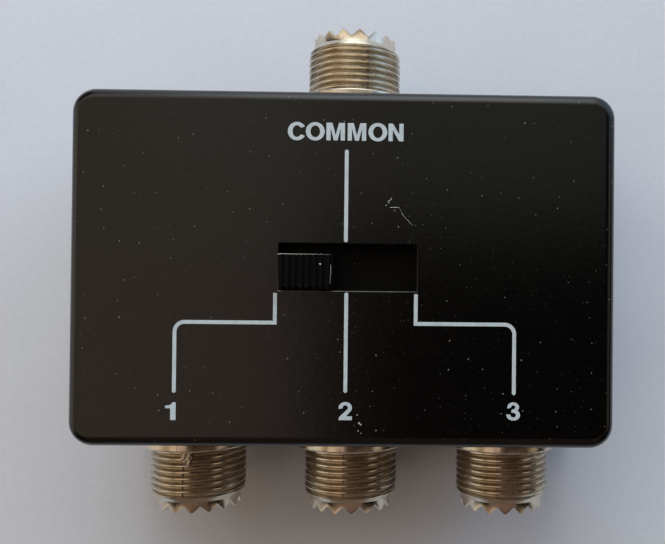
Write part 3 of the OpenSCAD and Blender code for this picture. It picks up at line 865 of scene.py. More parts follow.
@dataclass
class CaseBox:
    """The die-cast box with its window, and its sizes as the frame gives them."""

    wall: float = 2.6 * MM
    face: float = 2.4 * MM
    corner: float = 3.7 * MM
    corner_steps: int = 14
    edge: float = 1.8 * MM
    edge_steps: int = 9
    window_round: float = 0.16 * MM
    window_steps: int = 3
    hole: float = 8.05 * MM
    hole_sides: int = 64
    port_depth: float = 16 * MM
    port_pitch: float = 26.4 * MM
    window_centre: Pair = (0.65 * MM, 0.25 * MM)
    window_size: Pair = (21.05 * MM, 7.2 * MM)
    low: Vector = field(default_factory=lambda: Vector(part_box("housing")[0]))
    high: Vector = field(default_factory=lambda: Vector(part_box("housing")[1]))

    @property
    def top(self) -> float:
        """Height of the front face."""
        return self.high.z

    @property
    def port_z(self) -> float:
        """Height of the ports' axes."""
        return self.top - self.port_depth

    def window(self) -> tuple[float, float, float, float]:
        """Returns the window's low x, low y, high x and high y."""
        (x, y), (w, d) = self.window_centre, self.window_size
        return x - w / 2, y - d / 2, x + w / 2, y + d / 2

    def build(self) -> None:
        """Models the box: a rounded block, hollowed from below, with window and port holes."""
        box = Bench.block("case_box", self.low, self.high)
        Bench.bevel(box, self.corner, self.corner_steps, lambda c, n: abs(n.z) > ALONG)
        Bench.bevel(box, self.edge, self.edge_steps,
                    lambda c, n: c.z > self.top - 0.01 * MM and abs(n.z) < ACROSS)
        Bench.edit(box, Select.FACES, lambda c, n: n.z < -ALONG)
        bpy.ops.mesh.inset(thickness=self.wall)
        rise = self.top - self.face - self.low.z
        bpy.ops.mesh.extrude_region_move(TRANSFORM_OT_translate={"value": (0, 0, rise)})
        Bench.done()
        Bench.clean(box)
        self.cut_holes(box)
        self.round_window(box)
        Bench.smooth(box, 40, even=True)
        dress(box, Finishes.paint)
        self.paint_window_highlight(box)
        settle_piece(box, CASE, ["housing"])

    def cut_holes(self, box: bpy.types.Object) -> None:
        """Cuts the knob's window and the ports' holes.

        Args:
            box: The hollow box.
        """
        x0, y0, x1, y1 = self.window()
        below, above = self.top - self.face - MM, self.top + MM
        cutters = [Bench.block("cut", (x0, y0, below), (x1, y1, above))]
        for x, side in self.ports():
            middle = (x, side * (self.high.y - self.wall / 2), self.port_z)
            cutters.append(Bench.disc("cut", self.hole, self.wall + 2 * MM, middle, self.hole_sides,
                                      (math.pi / 2, 0, 0)))
        Bench.carve(box, cutters)
        Bench.clean(box)

    def round_window(self, box: bpy.types.Object) -> None:
        """Rounds the window's rim in the face.

        Args:
            box: The box with its window cut.
        """
        reach = 0.05 * MM
        x0, y0, x1, y1 = self.window()

        def on_rim(c: Vector, n: Vector) -> bool:
            """Says whether an edge lies on the rim.

            Args:
                c: The edge's middle.
                n: Its direction.

            Returns:
                Whether it is one of the rim's edges.
            """
            if c.z <= self.top - reach or abs(n.z) >= ACROSS:
                return False
            within = x0 - reach < c.x < x1 + reach and y0 - reach < c.y < y1 + reach
            beside = min(abs(c.x - x0), abs(c.x - x1), abs(c.y - y0), abs(c.y - y1))
            return within and beside < reach

        Bench.bevel(box, self.window_round, self.window_steps, on_rim)

    def paint_window_highlight(self, box: bpy.types.Object) -> None:
        """Paints a lighter colour on the rim's lower edge, where it faces up: a painted highlight.

        Args:
            box: The painted box.
        """
        x0, low, x1, _ = self.window()
        steepest, flattest = 0.2, 0.98
        # The rim's facets that face up along its lower edge get the lighter colour: a painted
        # highlight.
        box.data.materials.append(Finishes.window_highlight.material())
        for facet in box.data.polygons:
            x, y, z = facet.center
            near = abs(y - low) < 1.2 * self.window_round and z > self.top - self.window_round
            if near and x0 < x < x1 and steepest < facet.normal.z < flattest:
                facet.material_index = 1

    def ports(self) -> list[tuple[float, int]]:
        """Returns each port's x and side: common first, then 1, 2 and 3."""
        return [(0.0, 1), (-self.port_pitch, -1), (0.0, -1), (self.port_pitch, -1)]


def arc(centre: Pair, radii: Pair, start: float, end: float,
        steps: int = 12) -> list[Pair]:
    """Returns points along an ellipse.

    Args:
        centre: The ellipse's middle.
        radii: Its half width and half height.
        start: The first point's angle, in degrees.
        end: The last point's angle, in degrees.
        steps: The number of steps between them.

    Returns:
        The points, both ends among them.
    """
    turns = (math.radians(start + (end - start) * k / steps) for k in range(steps + 1))
    return [(centre[0] + radii[0] * math.cos(t), centre[1] + radii[1] * math.sin(t)) for t in turns]


class Glyphs:
    """Plain bold letters and figures, as outlines one cap height tall."""

    o_mid, o_out, o_in = (0.52, 0.5), (0.52, 0.525), (0.262, 0.333)
    letter_c = (arc((0.505, 0.5), (0.505, 0.525), 30, 330, 28)
                + arc((0.505, 0.5), (0.245, 0.333), 326, 34, 24))
    letter_o = (arc(o_mid, o_out, 90, 270, 18) + arc(o_mid, o_in, 270, 90, 18),
                arc(o_mid, o_out, -90, 90, 18) + arc(o_mid, o_in, 90, -90, 18))
    letter_m = [(0, 0), (0.235, 0), (0.235, 0.70), (0.405, 0), (0.615, 0), (0.785, 0.70),
                (0.785, 0), (1.02, 0), (1.02, 1), (0.69, 1), (0.51, 0.30), (0.33, 1), (0, 1)]
    letter_n = [(0, 0), (0.235, 0), (0.235, 0.62), (0.585, 0), (0.83, 0), (0.83, 1), (0.595, 1),
                (0.595, 0.39), (0.245, 1), (0, 1)]
    figure_1 = [(0.29, 0), (0.595, 0), (0.595, 1), (0.41, 1), (0.34, 0.90), (0.22, 0.84),
                (0, 0.815), (0, 0.665), (0.29, 0.665)]
    figure_2 = (arc((0.385, 0.70), (0.375, 0.325), 194, -35, 18)
                + [(0.43, 0.215), (0.765, 0.215), (0.765, 0), (0, 0), (0.005, 0.09), (0.07, 0.20)]
                + arc((0.385, 0.70), (0.15, 0.145), -35, 190, 14))
    figure_3 = (arc((0.385, 0.735), (0.335, 0.275), 198, -38, 16) + [(0.61, 0.53)]
                + arc((0.39, 0.285), (0.39, 0.31), 42, -188, 18)
                + arc((0.39, 0.285), (0.155, 0.13), -188, 62, 14)
                + [(0.37, 0.425), (0.285, 0.425), (0.285, 0.585), (0.36, 0.585)]
                + arc((0.385, 0.735), (0.125, 0.11), -62, 188, 12))
    word = ((0.0, letter_c), (0.99, letter_o[0]), (0.99, letter_o[1]), (2.12, letter_m),
            (3.29, letter_m), (4.43, letter_o[0]), (4.43, letter_o[1]), (5.535, letter_n))
    word_width = 6.365


@dataclass
class Legend:
    """Printed lines, port numbers and a plain function word on the face.

    Attributes:
        case: The box that carries them.
        width: The lines' width.
        ink: How far the ink stands over the paint.
        sink: How far it reaches into it.
        centre_x: The middle of the two outer lines.
        common_shift: How far left of it the common port's line stands.
        common_line: The lower and the upper end of the common port's line.
        middle_line: The lower and the upper end of port 2's line.
        middle_x: The place of port 2's line.
        branch_start: The outer lines' upper end, from centre_x.
        branch_y: The height of their level run.
        branch_end: Their lower end, from centre_x.
        branch_round: The radius of their round bend.
        word_low: The word's lower left corner.
        word_width: The word's width.
        cap: The height of its letters.
        numbers: Each number's digit, outline and lower left corner.
    """

    case: CaseBox
    width: float = 0.58 * MM
    ink: float = 0.03 * MM
    sink: float = 0.01 * MM
    centre_x: float = 0.36 * MM
    common_shift: float = 0.05 * MM
    common_line: Pair = (4.1 * MM, 18.3 * MM)
    middle_line: Pair = (-18.95 * MM, -3.6 * MM)
    middle_x: float = 0.46 * MM
    branch_start: Pair = (10.75 * MM, -3.75 * MM)
    branch_y: float = -8.3 * MM
    branch_end: Pair = (25.92 * MM, -19.1 * MM)
    branch_round: float = 1.5 * MM
    word_low: Pair = (-8.74 * MM, 19.69 * MM)
    word_width: float = 17.71 * MM
    cap: float = 2.7 * MM
    numbers: tuple[tuple[str, list, float, float], ...] = (
        ("1", Glyphs.figure_1, -26.85 * MM, -23.25 * MM),
        ("2", Glyphs.figure_2, -0.55 * MM, -23.1 * MM),
        ("3", Glyphs.figure_3, 25.18 * MM, -22.95 * MM))

    def plate(self, name: str, outline: Sequence[Pair]) -> bpy.types.Object:
        """Adds a flat sheet of ink with a given outline, at the ink's upper level.

        Args:
            name: The sheet's name.
            outline: Its corners, in metres.

        Returns:
            The sheet, with no thickness yet.
        """
        Bench.clear()
        bpy.ops.mesh.primitive_circle_add(vertices=len(outline), radius=MM, fill_type="NGON")
        sheet = Bench.named(name)
        for vert, (x, y) in zip(sheet.data.vertices, outline):
            vert.co = (x, y, self.case.top + self.ink)
        return sheet

    def thicken(self, sheet: bpy.types.Object) -> bpy.types.Object:
        """Gives a flat sheet of ink its thickness, down into the paint.

        Args:
            sheet: The flat sheet.

        Returns:
            The closed sheet.
        """
        gap, down = 0.0005 * MM, (0, 0, -self.ink - self.sink)
        Bench.clean(sheet, gap)
        Bench.edit(sheet, Select.FACES, lambda c, n: True)
        bpy.ops.mesh.extrude_region_move(TRANSFORM_OT_translate={"value": down})
        Bench.done()
        Bench.clean(sheet, gap)
        return sheet

    def strip(self, name: str, x: float, ends: Pair) -> bpy.types.Object:
        """Models a straight printed line along Y with softly rounded ends.

        Args:
            name: The piece's name.
            x: The line's place along X.
            ends: Its lower and its upper end.

        Returns:
            The printed line.
        """
        half = self.width / 2
        outline = arc((x, ends[0] + half), (half, half), 180, 360, 8)
        outline += arc((x, ends[1] - half), (half, half), 0, 180, 8)
        return self.thicken(self.plate(name, outline))

    def branch(self, name: str, side: int) -> bpy.types.Object:
        """Models one outer line: down, sharply out, and round down to its number.

        Args:
            name: The piece's name.
            side: -1 for the left line, 1 for the right one.

        Returns:
            The printed line.
        """
        half = self.width / 2
        (x0, y0), (x1, y1) = self.branch_start, self.branch_end
        low, high = self.branch_y - half, self.branch_y + half
        inner, outer = self.branch_round - half, self.branch_round + half
        pivot = (x1 - self.branch_round, self.branch_y - self.branch_round)
        shoulder, brow = y0 - 0.1 * MM, half * 0.7
        outline = ([(x0 - half, shoulder), (x0 - half, low)] + arc(pivot, (inner, inner), 90, 0, 8)
                   + arc((x1, y1 + half), (half, half), 180, 360, 8)
                   + arc(pivot, (outer, outer), 0, 90, 10)
                   + [(x0 + half, high), (x0 + half, shoulder), (x0 + brow, y0), (x0 - brow, y0)])
        placed = [(self.centre_x + side * x, y) for x, y in outline]
        return self.thicken(self.plate(name, placed))

    def lettering(self, name: str, glyphs: Sequence[tuple[float, Sequence[Pair]]], low: Pair,
                  scale: Pair) -> bpy.types.Object:
        """Models plain lettering on the face.

        Args:
            name: The piece's name.
            glyphs: The characters' shifts and outlines, in cap heights.
            low: The lettering's lower left corner, in metres.
            scale: Metres for each cap height, along X and Y.

        Returns:
            The lettering as one mesh.
        """
        sheets = []
        for shift, outline in glyphs:
            placed = [(low[0] + (x + shift) * scale[0], low[1] + y * scale[1])
                      for x, y in outline]
            sheets.append(self.plate(name, placed))
        Bench.join(sheets[0], sheets[1:])
        sheets[0].name = name
        return self.thicken(sheets[0])

    def build(self) -> None:
        """Prints the lines, the numbers and the word."""
        word_scale = (self.word_width / Glyphs.word_width, self.cap)
        common_x = self.centre_x - self.common_shift
        pieces = [self.strip("print_line_common", common_x, self.common_line),
                  self.strip("print_line_2", self.middle_x, self.middle_line),
                  self.branch("print_line_1", -1), self.branch("print_line_3", 1),
                  self.lettering("print_word_common", Glyphs.word, self.word_low, word_scale)]
        for digit, outline, x, y in self.numbers:
            pieces.append(self.lettering(f"print_number_{digit}", [(0, outline)], (x, y),
                                         (self.cap, self.cap)))
        for piece in pieces:
            finish_piece(piece, CASE, Finishes.ink)


# ---------------------------------------------------------------- ports


@dataclass
class Burr:
    """The torn skin of metal that bridges a shell's first ridges beside the parting line.

    Attributes:
        crest: The radius that it lies on.
        low: Its lower end, as a distance from the wall.
        high: Its upper end.
        left: Its left edge, along the round from the parting line.
        right: Its right edge.
        grid: Its columns and rows, before it is torn.
        thick: Its thickness.
        tear: The height of a wave past which a spot lies in a tear.
    """

    crest: float
    low: float
    high: float
    left: float = -0.1 * MM
    right: float = 1.75 * MM
    grid: tuple[int, int] = (22, 30)
    thick: float = 0.1 * MM
    tear: float = 0.86

    def torn(self, x: float, y: float) -> bool:
        """Says whether a spot lies beyond the ragged edge or in a tear.

        Args:
            x: Its place along the round, in metres.
            y: Its distance from the wall, in metres.

        Returns:
            Whether the metal is missing there.
        """
        ragged = 0.35 + 0.3 * math.sin(x / MM * 9) + 0.25 * math.sin(x / MM * 23 + 1)
        arched = abs(x - (self.left + self.right) / 2) / (self.right - self.left) * 1.6
        edge = self.high - ragged * MM - arched * MM
        side = self.right - (0.12 + 0.12 * math.sin(y / MM * 7)) * MM
        wave = math.sin(x / MM * 6.1 + y / MM * 2.2) * math.sin(y / MM * 6.0 + 0.6)
        return y > edge or x > side or wave > self.tear

    def build(self) -> bpy.types.Object:
        """Models the skin: a grid, torn, bent round the shell and given its thickness.

        Returns:
            The skin, about its shell's own axis.
        """
        Bench.clear()
        columns, rows = self.grid
        bpy.ops.mesh.primitive_grid_add(x_subdivisions=columns, y_subdivisions=rows, size=1,
                                        location=(0, 0, 0))
        skin = Bench.named("burr")
        skin.scale = (self.right - self.left, self.high - self.low, 1)
        skin.location = ((self.left + self.right) / 2, (self.low + self.high) / 2, 0)
        Bench.settle(skin)
        Bench.edit(skin, Select.FACES, lambda c, n: self.torn(c.x, c.y))
        bpy.ops.mesh.delete(type="FACE")
        Bench.done()
        for vert in skin.data.vertices:
            x, y = vert.co.x, vert.co.y
            wave = math.sin(x / MM * 7.3 + 1.1 * math.sin(y / MM * 5)) * math.sin(y / MM * 5.9)
            radius = self.crest + (0.02 + 0.07 * wave) * MM
            angle = math.pi / 2 - x / self.crest
            vert.co = (radius * math.cos(angle), radius * math.sin(angle), y)
        Bench.modify(skin, "SOLIDIFY", thickness=self.thick, offset=0)
        Bench.edit_all(skin)
        bpy.ops.mesh.normals_make_consistent(inside=False)
        Bench.done()
        Bench.smooth(skin, 40)
        dress(skin, Finishes.skin)
        return skin


@dataclass
class PortShell:
    """A threaded port shell with its collar, crown and parting line.

    Attributes:
        case: The box whose wall carries it.
        crest: The thread's outer radius.
        depth: The thread's depth.
        pitch: The thread's pitch.
        turns: The thread's whole turns.
        overrun: The part of a turn that it is wound past them.
        wind_steps: The steps of a turn.
        ridge_foot: Half the width of the ridge's foot, in pitches.
        ridge_flat: Half the width of its crest, in pitches.
        bedded: How deep the foot lies in the barrel.
        fade: The length over which the ridge rises at its ends, in pitches.
        collar: The collar's radius, and collar_t its thickness.
        run_in: The gap from the collar to the thread.
        crown: The crown's radius, and crown_l its length past the cone.
        cone_l: The length of the cone before the crown.
        teeth: The number of the crown's teeth, and tooth their height.
        socket: The socket's radius, and socket_l its depth.
        relief: The step at the socket's mouth, and relief_l its depth.
        neck: The rear bore's radius.
        shank: The shank's radius behind the wall, and shank_l its length.
        flash: Half the width of the parting line's flash.
        flash_depth: How deep the flash starts under the crests.
        flash_drop: How far it lies under the crests along the thread.
        flash_cuts: The cuts that let it wave.
        turned: How far each shell is turned, in degrees.
        burred: The port whose shell has the torn skin.
        sides: The number of sides around the axis.
    """

    case: CaseBox
    crest: float = 7.9375 * MM
    depth: float = 0.62 * MM
    pitch: float = 1.058 * MM
    turns: int = 7
    overrun: float = 0.25
    wind_steps: int = 96
    ridge_foot: float = 0.47
    ridge_flat: float = 0.09
    bedded: float = 0.15 * MM
    fade: float = 0.35
    collar: float = 9.9 * MM
    collar_t: float = 2.2 * MM
    run_in: float = 0.3 * MM
    crown: float = 7.08 * MM
    cone_l: float = 1.1 * MM
    crown_l: float = 1.9 * MM
    teeth: int = 16
    tooth: float = 1.15 * MM
    socket: float = 6.15 * MM
    socket_l: float = 6.0 * MM
    relief: float = 0.2 * MM
    relief_l: float = 1.5 * MM
    neck: float = 5.05 * MM
    shank: float = 7.9 * MM
    shank_l: float = 6.7 * MM
    flash: float = 0.03 * MM
    flash_depth: float = 0.85 * MM
    flash_drop: float = 0.28 * MM
    flash_cuts: int = 64
    turned: tuple[float, ...] = (22.5, 4, 5, 12)
    burred: str = "1"
    sides: int = 192

    @property
    def thread_end(self) -> float:
        """Distance of the thread's end from the wall."""
        return self.collar_t + self.run_in + self.turns * self.pitch

    @property
    def tip(self) -> float:
        """Distance of the crown's tip from the wall."""
        return self.thread_end + self.cone_l + self.crown_l

    def outline(self) -> list[Pair]:
        """Draws the shell's section without its thread, from the rear bore round to it again.

        Cuts of 0.04 to 0.3 mm break its edges.

        Returns:
            Radius and height of each corner, in metres.
        """
        root, end = self.crest - self.depth, self.thread_end
        foot, tip = end + self.cone_l, self.tip
        soft, fine = 0.3 * MM, 0.12 * MM
        seat, mouth = self.socket - self.relief, self.socket + self.relief
        rear = [(self.neck, -self.shank_l), (self.shank - soft, -self.shank_l),
                (self.shank, -self.shank_l + soft), (self.shank, 0)]
        collar = [(self.collar - 0.15 * MM, 0), (self.collar, 0.15 * MM),
                  (self.collar, self.collar_t - soft),
                  (self.collar - 0.1 * MM, self.collar_t - 0.1 * MM),
                  (self.collar - soft, self.collar_t)]
        barrel = [(root + 0.25 * MM, self.collar_t), (root, self.collar_t + 0.2 * MM),
                  (root, end - fine), (self.crest - 0.2 * MM, end + fine),
                  (self.crest - fine, end + 0.2 * MM), (self.crest - 0.16 * MM, end + 0.32 * MM)]
        crown = [(self.crown + 0.04 * MM, foot - 0.04 * MM), (self.crown, foot + 0.06 * MM),
                 (self.crown, tip - fine), (self.crown - fine, tip)]
        socket = [(mouth + 0.1 * MM, tip), (mouth, tip - 0.1 * MM), (mouth, tip - self.relief_l),
                  (self.socket, tip - self.relief_l - 0.1 * MM), (self.socket, tip - self.socket_l),
                  (seat, tip - self.socket_l), (seat, -self.case.wall),
                  (self.neck, -self.case.wall)]
        return rear + collar + barrel + crown + socket

    def notch(self, phase: float) -> float:
        """Returns how deep the crown is notched at a share of the way between two valleys."""
        return self.tooth * min(1.0, max(0.0, abs(2 * phase - 1) * 1.12 - 0.06))

    def thread(self) -> bpy.types.Object:
        """Winds the thread: one ridge section, screwed along the barrel and faded at both ends.

        Returns:
            The closed ridge, about the shell's own axis.
        """
        root = self.crest - self.depth - self.bedded
        base, flat = self.pitch * self.ridge_foot, self.pitch * self.ridge_flat
        start = self.collar_t + self.run_in - 0.1 * MM
        wound = self.turns + self.overrun
        length, fade = self.pitch * wound, self.pitch * self.fade
        Bench.clear()
        bpy.ops.mesh.primitive_circle_add(vertices=6, radius=1, location=(0, 0, 0))
        ridge = Bench.named("thread")
        side, shoulder = self.crest - 0.07 * MM, flat + 0.05 * MM
        section = [(root, -base), (side, -shoulder), (self.crest, -flat), (self.crest, flat),
                   (side, shoulder), (root, base)]
        for vert, (r, z) in zip(ridge.data.vertices, section):
            vert.co = (r, 0, z)
        ridge.location = (0, 0, start)
        Bench.settle(ridge)
        steps = int(self.wind_steps * wound)
        Bench.modify(ridge, "SCREW", axis="Z", angle=FULL_TURN * wound, screw_offset=length,
                     steps=steps, render_steps=steps, use_merge_vertices=False)
        for vert in ridge.data.vertices:
            spot = vert.co
            angle = math.atan2(spot.y, spot.x) % FULL_TURN
            turn = round((spot.z - start) / self.pitch - angle / FULL_TURN)
            run = (turn + angle / FULL_TURN) * self.pitch
            keep = min(1.0, max(0.0, run / fade), max(0.0, (length - run) / fade))
            radius = math.hypot(spot.x, spot.y)
            new = root + (radius - root) * (0.05 + 0.95 * keep)
            spot.x *= new / radius
            spot.y *= new / radius
        Bench.edit(ridge, Select.EDGES)
        bpy.ops.mesh.select_non_manifold()
        bpy.ops.mesh.edge_face_add()
        Bench.done()
        Bench.clean(ridge, 0.0001 * MM)
        return ridge

    def mark_hollows(self, shell: bpy.types.Object) -> None:
        """Stores how deep each point lies between the thread's ridges, for the plating's dullness
        and painted shade there.

        Args:
            shell: The shell with its thread joined in.
        """
        bright = 0.08 * MM
        inner = self.socket + 0.5 * MM
        hollow = shell.data.attributes.new("hollow", "FLOAT", "POINT")
        for vert, mark in zip(shell.data.vertices, hollow.data):
            radius = math.hypot(vert.co.x, vert.co.y)
            deep = (self.crest - bright - radius) / (self.depth - bright)
            threaded = self.collar_t < vert.co.z < self.thread_end and radius > inner
            mark.value = min(1.0, max(0.0, deep)) if threaded else 0.0

    def radius_at(self, height: float) -> float:
        """Returns how far out the flash reaches, low between the crests.

        Args:
            height: The distance from the wall, in metres.

        Returns:
            The radius there, in metres.
        """
        if height < self.collar_t:
            return self.collar
        if height < self.thread_end:
            return self.crest - self.flash_drop
        share = min(1.0, (height - self.thread_end) / self.cone_l)
        return self.crest + (self.crown - self.crest) * share

    def parting_line(self) -> bpy.types.Object:
        """Models the thin flash along the mould's parting, on the front and the rear side.

        Returns:
            Both lines as one mesh.
        """
        low, high = 0.12 * MM, self.tip - self.tooth - 0.1 * MM
        inside = self.crest - self.flash_depth
        flash = Bench.block("flash", (-self.flash, inside, low), (self.flash, self.crest, high))
        Bench.edit(flash, Select.EDGES, lambda c, n: abs(n.z) > ALONG)
        bpy.ops.mesh.subdivide(number_cuts=self.flash_cuts)
        Bench.done()
        for vert in flash.data.vertices:
            height = vert.co.z
            wave = math.sin(height / MM * 5.1) * 0.5 + math.sin(height / MM * 11.7 + 0.8) * 0.5
            vert.co.x += wave * 0.035 * MM
            if vert.co.y > self.crest - 0.01 * MM:
                vert.co.y = self.radius_at(height) + (0.01 + 0.025 * wave) * MM
        rear = Bench.copy(flash, "flash_rear", Matrix.Rotation(math.pi, 4, "Z"))
        Bench.join(flash, [rear])
        return flash

    def cut_crown(self, shell: bpy.types.Object) -> None:
        """Pulls the crown's tip down between its teeth.

        Args:
            shell: The turned shell, with whole sides to each tooth.
        """
        per_tooth = self.sides // self.teeth
        for k in (k for k in range(per_tooth) if 2 * k != per_tooth):
            Bench.edit(shell, Select.VERTS, lambda c, n, k=k: c.z > self.tip - 0.2 * MM
                       and round(math.atan2(c.y, c.x) / FULL_TURN * self.sides) % per_tooth == k)
            bpy.ops.transform.translate(value=(0, 0, -self.notch(k / per_tooth)))
            Bench.done()

    def build(self) -> bpy.types.Object:
        """Models one shell about its own axis, with its collar on z = 0.

        Returns:
            The dressed pattern for the four shells.
        """
        shell = Bench.turned("port_shell", self.outline(), self.sides)
        self.cut_crown(shell)
        Bench.join(shell, [self.thread()])
        Bench.smooth(shell, 40, even=True)
        self.mark_hollows(shell)
        flash = self.parting_line()
        dress(shell, Finishes.nickel)
        dress(flash, Finishes.dark_flash)
        Bench.join(shell, [flash])
        return shell

    def place(self, x: float, side: int, turned: float) -> Matrix:
        """Places a shell on its port.

        Args:
            x: The port's place along X.
            side: 1 for the common port's wall, -1 for the others'.
            turned: How far the shell is turned about its axis, in degrees.

        Returns:
            The turn and the move.
        """
        spot = Matrix.Translation((x, side * self.case.high.y, self.case.port_z))
        own = Matrix.Rotation(math.radians(turned), 4, "Z")
        return spot @ Matrix.Rotation(-side * math.pi / 2, 4, "X") @ own

    def build_all(self) -> None:
        """Copies the shell to the four ports."""
        pattern = self.build()
        names = ("common", "1", "2", "3")
        for name, (x, side), turned in zip(names, self.case.ports(), self.turned):
            twin = Bench.copy(pattern, f"port_shell_{name}", self.place(x, side, turned))
            if name == self.burred:
                burr = Burr(self.crest, self.collar_t + 0.1 * MM, self.collar_t + 2.9 * MM).build()
                Bench.join(twin, [Bench.copy(burr, "burr_placed", self.place(x, side, turned))])
                Bench.drop(burr)
            settle_piece(twin, CASE, [f"shell_{name}"])
        Bench.drop(pattern)


# ---------------------------------------------------------------- knob


@dataclass
class Knob:
    """The slide knob: a ribbed grip on a flat skirt.

    Attributes:
        case: The box in whose window it slides.
        rib_count: The number of its ribs.
        groove: The depth of the grooves between them.
        foot: How far the grip's plain foot stands over the face.
        skirt_t: The skirt's thickness.
        length: The grip's length along X.
        width: The grip's width along Y.
        soft: The radius of its rounded edges.
        lower_gap: The gap from the window's lower edge to the grip.
        low: The lowest corner of the solid that it stands for.
        high: The highest corner of that solid.
    """

    case: CaseBox
    rib_count: int = 8
    groove: float = 0.35 * MM
    foot: float = 0.4 * MM
    skirt_t: float = 1.2 * MM
    length: float = 8.05 * MM
    width: float = 5.3 * MM
    soft: float = 0.13 * MM
    lower_gap: float = 0.15 * MM
    low: Vector = field(default_factory=lambda: Vector(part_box("slider_knob")[0]))
    high: Vector = field(default_factory=lambda: Vector(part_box("slider_knob")[1]))

    @property
    def left(self) -> float:
        """The grip's left end."""
        return (self.low.x + self.high.x - self.length) / 2

    @property
    def upper(self) -> float:
        """The grip's upper edge, towards the common port."""
        return self.case.window()[1] + self.lower_gap + self.width

    def build(self) -> None:
        """Models the skirt, the core and the ribs as one moulding."""
        x, half, sunk = (self.low.x + self.high.x) / 2, self.length / 2, self.groove
        y1 = self.upper
        y0 = y1 - self.width
        core = Bench.block("slide_knob", (x - half + sunk / 2, y0 + sunk, self.low.z),
                           (x + half - sunk / 2, y1 - sunk, self.high.z - sunk))
        foot = Bench.block("foot", (x - half, y0, self.low.z),
                           (x + half, y1, self.case.top + self.foot))
        skirt_top = (self.high.x, self.high.y, self.low.z + self.skirt_t)
        skirt = Bench.block("skirt", self.low, skirt_top)
        for part in (core, foot, skirt):
            Bench.soften(part, self.soft, 2)
        pitch = self.length / self.rib_count
        rib = Bench.block("rib", (-pitch / 4, y0, self.case.top), (pitch / 4, y1, self.high.z))
        Bench.soften(rib, self.soft, 3)
        ribs = []
        for k in range(self.rib_count):
            spot = x - half + (k + 0.5) * pitch
            ribs.append(Bench.copy(rib, "rib_copy", Matrix.Translation((spot, 0, 0))))
        Bench.drop(rib)
        Bench.join(core, [foot, skirt, *ribs])
        Bench.smooth(core, 45, even=True)
        finish_piece(core, SLIDER, Finishes.knob, ["slider_knob"])


# ---------------------------------------------------------------- lint


@dataclass(frozen=True)
class Fibre:
    """A fine strand of lint.

    Attributes:
        name: The piece's name.
        body: The body that it rides on.
        slot: The material slot of what carries it. It is not used.
        points: Its points on the surface that carries it, in millimetres.
        radius: Half its thickness, in metres.
    """

    name: str
    body: str
    slot: str
    points: tuple[Pair, ...]
    radius: float


